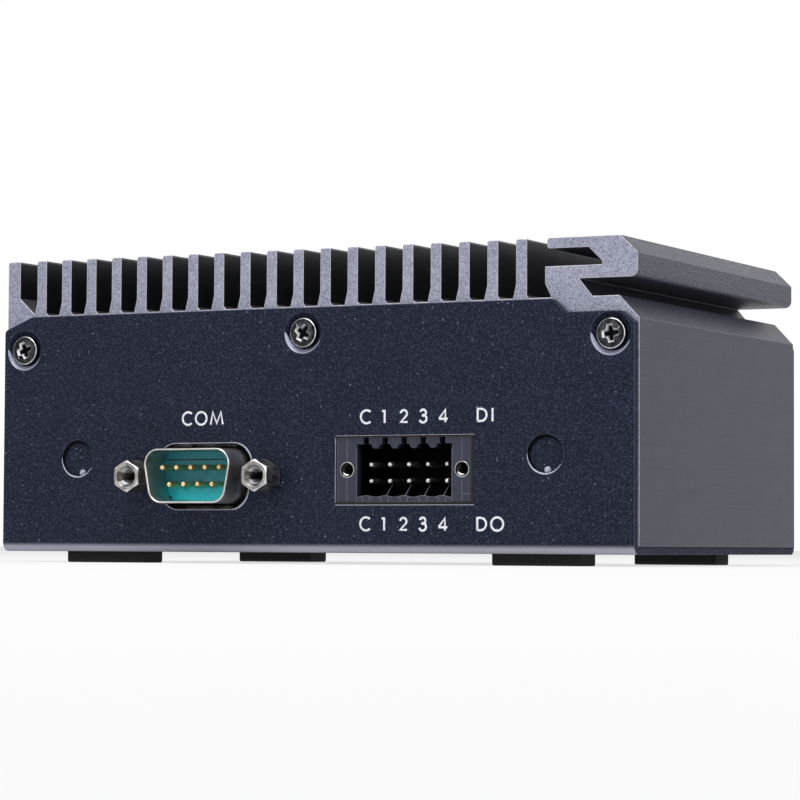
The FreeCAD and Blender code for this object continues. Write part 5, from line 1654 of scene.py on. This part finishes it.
@dataclass
class RearPorts(Assembly):
    """Network, bus, video and power sockets on the rear panel."""

    plug: Point = (11.8 * MM, 7.6 * MM)
    plug_floor: float = 3.6 * MM
    notch: Point = (5.2 * MM, 1.6 * MM)
    plug_depth: float = 12.9 * MM
    lining: float = 0.04 * MM
    lens: Point = (1.5 * MM, 0.6 * MM)
    lens_spread: float = 5.4 * MM
    lens_drop: float = 1.15 * MM
    tongue: float = 1.84 * MM
    bus_contacts: tuple[float, ...] = (-3.5, -1.0, 1.0, 3.5)
    bus_profile: tuple[Point, ...] = ((8.0, 0.0), (8.0, 0.08), (3.4, 0.1), (2.4, 0.28),
                                      (1.6, 0.3), (0.6, 0.1), (0.3, 0.0))
    video_profile: tuple[Point, ...] = ((6.0, 0.0), (6.0, 0.05), (0.9, 0.08), (0.4, 0.0))
    jack_bore: float = 3.3 * MM

    def linings(self) -> None:
        """Makes the black linings of the network jacks' plug openings."""
        shape = Shape()
        for name in ("network_jack_left", "network_jack_right"):
            low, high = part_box(name)
            place = panel_place(Panel.REAR, (low.x + high.x) / 2, high.y - 0.02 * MM,
                                low.z + self.plug_floor)
            half, tall = self.plug[0] / 2 - self.lining, self.plug[1] - self.lining
            slot, deep = self.notch[0] / 2 - self.lining, -self.notch[1] + self.lining
            foot = self.lining
            outline = [(-half, foot), (-slot, foot), (-slot, deep), (slot, deep), (slot, foot),
                       (half, foot), (half, tall), (-half, tall)]
            loops = [shape.loop(raised(outline, up), place) for up in (0.0, -self.plug_depth)]
            shape.band(*loops)
            shape.cap(loops[1])
        shape.piece("network_jack_linings", [PALETTE.black], Slot.BLACK_PLASTIC, smooth_below=10)

    def lenses(self) -> None:
        """Makes the link and traffic lights of the network jacks."""
        shape = Shape()
        wide, tall = self.lens
        for name in ("network_jack_left", "network_jack_right"):
            low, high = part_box(name)
            for number, side in enumerate((-1, 1)):
                place = panel_place(Panel.REAR, (low.x + high.x) / 2 + side * self.lens_spread,
                                    high.y, high.z - self.lens_drop)
                rings = []
                for inset, up in ((0.0, -0.2 * MM), (0.0, 0.03 * MM), (0.1 * MM, 0.09 * MM),
                                  (0.3 * MM, 0.12 * MM)):
                    ring = []
                    for angle in turns(24):
                        x, y = math.cos(angle), math.sin(angle)
                        ring.append((math.copysign(abs(x) ** 0.4, x) * (wide - inset),
                                     math.copysign(abs(y) ** 0.4, y) * (tall - inset), up))
                    rings.append(shape.loop(ring, place))
                shape.tube(rings, number)
                shape.cap(rings[0], flip=True, number=number)
                shape.cap(rings[-1], number=number)
        shape.piece("network_jack_lenses", [PALETTE.link_lens, PALETTE.busy_lens],
                    Slot.BLACK_PLASTIC, smooth_below=50)

    def contacts(self) -> None:
        """Makes the sprung contacts on the bus and video sockets' tongues."""
        shape = Shape()
        low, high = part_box("usb_tongues")
        middle = (low.x + high.x) / 2
        tip = high.y
        for foot in (low.z, high.z - self.tongue):
            outline = [(tip - back * MM, foot - drop * MM) for back, drop in self.bus_profile]
            for across in self.bus_contacts:
                spot = middle + across * MM
                shape.extrude(outline, spot - 0.5 * MM, spot + 0.5 * MM)
        low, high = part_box("video_tongue")
        middle = (low.x + high.x) / 2
        tip = high.y
        for level, way, count in ((high.z, 1, 10), (low.z, -1, 9)):
            outline = [(tip - back * MM, level + way * rise * MM)
                       for back, rise in self.video_profile]
            for at in range(count):
                spot = middle + (at - (count - 1) / 2) * MM
                shape.extrude(outline, spot - 0.2 * MM, spot + 0.2 * MM)
        shape.piece("rear_socket_contacts", [PALETTE.gold], Slot.GOLD, smooth_below=20)

    def collar(self) -> None:
        """Makes the moulded collar round the power jack's bore."""
        pin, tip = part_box("power_jack_pin")
        _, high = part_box("power_jack")
        place = panel_place(Panel.REAR, (pin.x + tip.x) / 2, high.y, (pin.z + tip.z) / 2)
        ring = arc(self.jack_bore + 0.1 * MM, 0, 360, 8)
        shape = Shape()
        shape.bead(ring, [0.16 * MM] * len(ring), place)
        shape.piece("power_jack_collar", [PALETTE.black], Slot.BLACK_PLASTIC, smooth_below=60)

    def build(self) -> None:
        """Dresses the sockets, and makes their linings, lights, contacts and collar."""
        self.dress({
            "network_jack_left": Slot.NICKEL, "network_jack_right": Slot.NICKEL,
            "network_contacts_left": Slot.GOLD, "network_contacts_right": Slot.GOLD,
            "usb_shell": Slot.NICKEL, "usb_tongues": Slot.BLACK_PLASTIC,
            "video_shell": Slot.NICKEL, "video_tongue": Slot.BLACK_PLASTIC,
            "power_jack": Slot.BLACK_PLASTIC, "power_jack_pin": Slot.NICKEL,
        })
        self.linings()
        self.lenses()
        self.contacts()
        self.collar()


@dataclass
class PowerSwitch(Assembly):
    """The push button, its switch and the power sign above it."""

    cap: float = 3.0 * MM
    rim: float = 0.12 * MM
    sign_up: float = 6.4 * MM
    sign_radius: float = 1.0 * MM
    stroke: float = 0.28 * MM
    thickness: float = 0.02 * MM

    def build(self) -> None:
        """Dresses the button and its switch, and makes its rim and its sign."""
        self.dress({"power_button": Slot.BLACK_PLASTIC, "power_switch": Slot.BLACK_PLASTIC})
        low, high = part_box("power_button")
        _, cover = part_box("chassis_cover")
        middle, up = (low.x + high.x) / 2, (low.z + high.z) / 2
        shape = Shape()
        ring = arc(self.cap - 0.45 * MM, 0, 360)
        shape.bead(ring, [self.rim] * len(ring),
                   panel_place(Panel.REAR, middle, high.y - self.rim * 0.7, up))
        shape.piece("power_button_rim", [PALETTE.shaded], Slot.NICKEL, smooth_below=60,
                    body="power_button")
        shape = Shape()
        place = panel_place(Panel.REAR, middle, cover.y, up + self.sign_up)
        for points in (arc(self.sign_radius, 126, 414),
                       [Vector((0, 0.2 * MM)), Vector((0, 1.3 * MM))]):
            shape.ribbon(points, place, self.stroke, self.thickness)
        shape.piece("power_sign", [PALETTE.ink], Slot.POWDER, smooth_below=10)


@dataclass
class Inside(Assembly):
    """The board and what it carries."""

    def build(self) -> None:
        """Dresses the board and its pieces."""
        self.dress({
            "main_board": Slot.BOARD, "board_screws": Slot.ZINC, "board_spacers": Slot.ZINC,
            "processor": Slot.CHIP, "memory_chips": Slot.CHIP, "isolator_chips": Slot.CHIP,
            "power_inductors": Slot.CHIP, "capacitors": Slot.BLOCK, "thermal_pad": Slot.PAD,
            "heat_block": Slot.BLOCK, "heat_block_screws": Slot.ZINC,
            "cell_holder": Slot.BLACK_PLASTIC, "clock_cell": Slot.NICKEL,
            "drive_card": Slot.BOARD, "drive_post": Slot.ZINC, "drive_screw": Slot.ZINC,
            "drive_socket": Slot.BLACK_PLASTIC,
        })


# ---------------------------------------------------------------- studio


@dataclass
class Lamp:
    """A soft square lamp: where it hangs, its side and its power."""

    name: str
    place: Spot
    side: float
    power: float

    def hang(self, target: Vector) -> None:
        """Hangs the lamp so that it faces a target."""
        data = bpy.data.lights.new(self.name, "AREA")
        data.shape = "SQUARE"
        data.size = self.side
        data.energy = self.power
        item = show(self.name, data)
        item.location = self.place
        item.rotation_mode = "QUATERNION"
        item.rotation_quaternion = (target - Vector(self.place)).to_track_quat("-Z", "Y")


@dataclass
class Studio:
    """Pale floor, white surroundings, soft lamps and the camera."""

    floor_reach: float = 3.0
    fill: float = 0.2
    shade: float = 0.3
    glow: float = 0.7
    aim: float = 0.03
    camera_place: Spot = (0.24554, -0.47364, 0.00303)
    azimuth: float = 0.4771
    pitch: float = 0.0483
    roll: float = 0.0053
    lens: float = 136.3
    sensor: float = 36.0

    def floor(self) -> None:
        """Lays the pale floor, white to the camera except for the object's shadow."""
        reach = self.floor_reach
        shape = Shape()
        corners = [(-reach, -reach), (reach, -reach), (reach, reach), (-reach, reach)]
        shape.cap(shape.loop(raised(corners, 0), Matrix.Identity(4)))
        data = bpy.data.meshes.new("studio_floor")
        shape.mesh.to_mesh(data)
        shape.mesh.free()
        item = show("studio_floor", data)
        bench = Bench("pale_floor")
        cloud = bench.noise(0.3, 2)
        pale = bench.ramp(cloud, [(0.3, tint(232, 232, 233)), (0.7, tint(238, 238, 239))])
        bench.link(pale, bench.shader.inputs["Base Color"])
        bench.set(roughness=0.9, specular_ior_level=0.1)
        glow = bench.add("Emission", Strength=1.0)
        seen = bench.rays("Is Camera Ray", "Is Glossy Ray", "Is Transmission Ray")
        mix = bench.add("MixShader", bench.sum("MULTIPLY", seen, self.glow),
                        bench.shader.outputs["BSDF"], glow.outputs["Emission"])
        bench.link(mix.outputs["Shader"], bench.output.inputs["Surface"])
        data.materials.append(bench.material)

    def world(self) -> None:
        """Surrounds the object with white, dimmer in reflections of the room in front."""
        world = bpy.data.worlds.new("studio_white")
        world.use_nodes = True
        nodes = Nodes(world.node_tree)
        way = nodes.add("SeparateXYZ", nodes.add("TexCoord").outputs["Generated"])
        light = nodes.add("Background", Color=(0.97, 0.98, 1, 1), Strength=self.fill)
        shine = nodes.add("Background", Color=(1, 1, 1, 1),
                          Strength=nodes.span(way.outputs["Y"], -0.8, 0.1, self.shade, 1.0))
        white = nodes.add("Background", Color=(1, 1, 1, 1), Strength=1.0)
        ahead = light.outputs["Background"]
        for names, node in ((("Is Glossy Ray",), shine),
                            (("Is Camera Ray", "Is Transmission Ray"), white)):
            ahead = nodes.add("MixShader", nodes.rays(*names), ahead,
                              node.outputs["Background"]).outputs["Shader"]
        nodes.add("OutputWorld", Surface=ahead)
        bpy.context.scene.world = world

    def lamps(self) -> None:
        """Hangs a soft lamp above and weaker ones in front and at the right."""
        target = Vector((0, 0, self.aim))
        Lamp("top_softbox", (0.05, -0.3, 0.85), 0.5, 6.4).hang(target)
        Lamp("front_softbox", (-0.35, -0.9, 0.25), 0.6, 2.2).hang(target)
        Lamp("side_softbox", (0.95, -0.15, 0.3), 0.6, 3.0).hang(target)

    def camera(self) -> None:
        """Places the camera low in front, to the right."""
        a, p, r = self.azimuth, self.pitch, self.roll
        ahead = Vector((-math.sin(a) * math.cos(p), math.cos(a) * math.cos(p), math.sin(p)))
        right = Vector((math.cos(a), math.sin(a), 0))
        up = right.cross(ahead)
        turned = right * math.cos(r) + up * math.sin(r)
        raised = up * math.cos(r) - right * math.sin(r)
        matrix = Matrix((turned, raised, -ahead)).transposed().to_4x4()
        matrix.translation = Vector(self.camera_place)
        data = bpy.data.cameras.new("studio_camera")
        data.lens = self.lens
        data.sensor_width = self.sensor
        data.clip_start = 0.01
        item = show("studio_camera", data)
        item.matrix_world = matrix
        bpy.context.scene.camera = item

    def build(self) -> None:
        """Sets up the floor, the world, the lamps, the camera and the view transform."""
        self.floor()
        self.world()
        self.lamps()
        self.camera()
        bpy.context.scene.view_settings.view_transform = "Standard"


def main() -> None:
    """Builds every sub-assembly in order, then the studio."""
    logging.basicConfig(level=logging.INFO, format="%(name)s: %(message)s")
    for assembly in (Housing(), ChassisCover(), PanelScrews(), KnockOuts(), SerialPort(),
                     TerminalHeader(), Print(), RearPorts(), PowerSwitch(), Inside()):
        log.info("building %s", type(assembly).__name__)
        assembly.build()
    Studio().build()


if __name__ == "__main__":
    main()
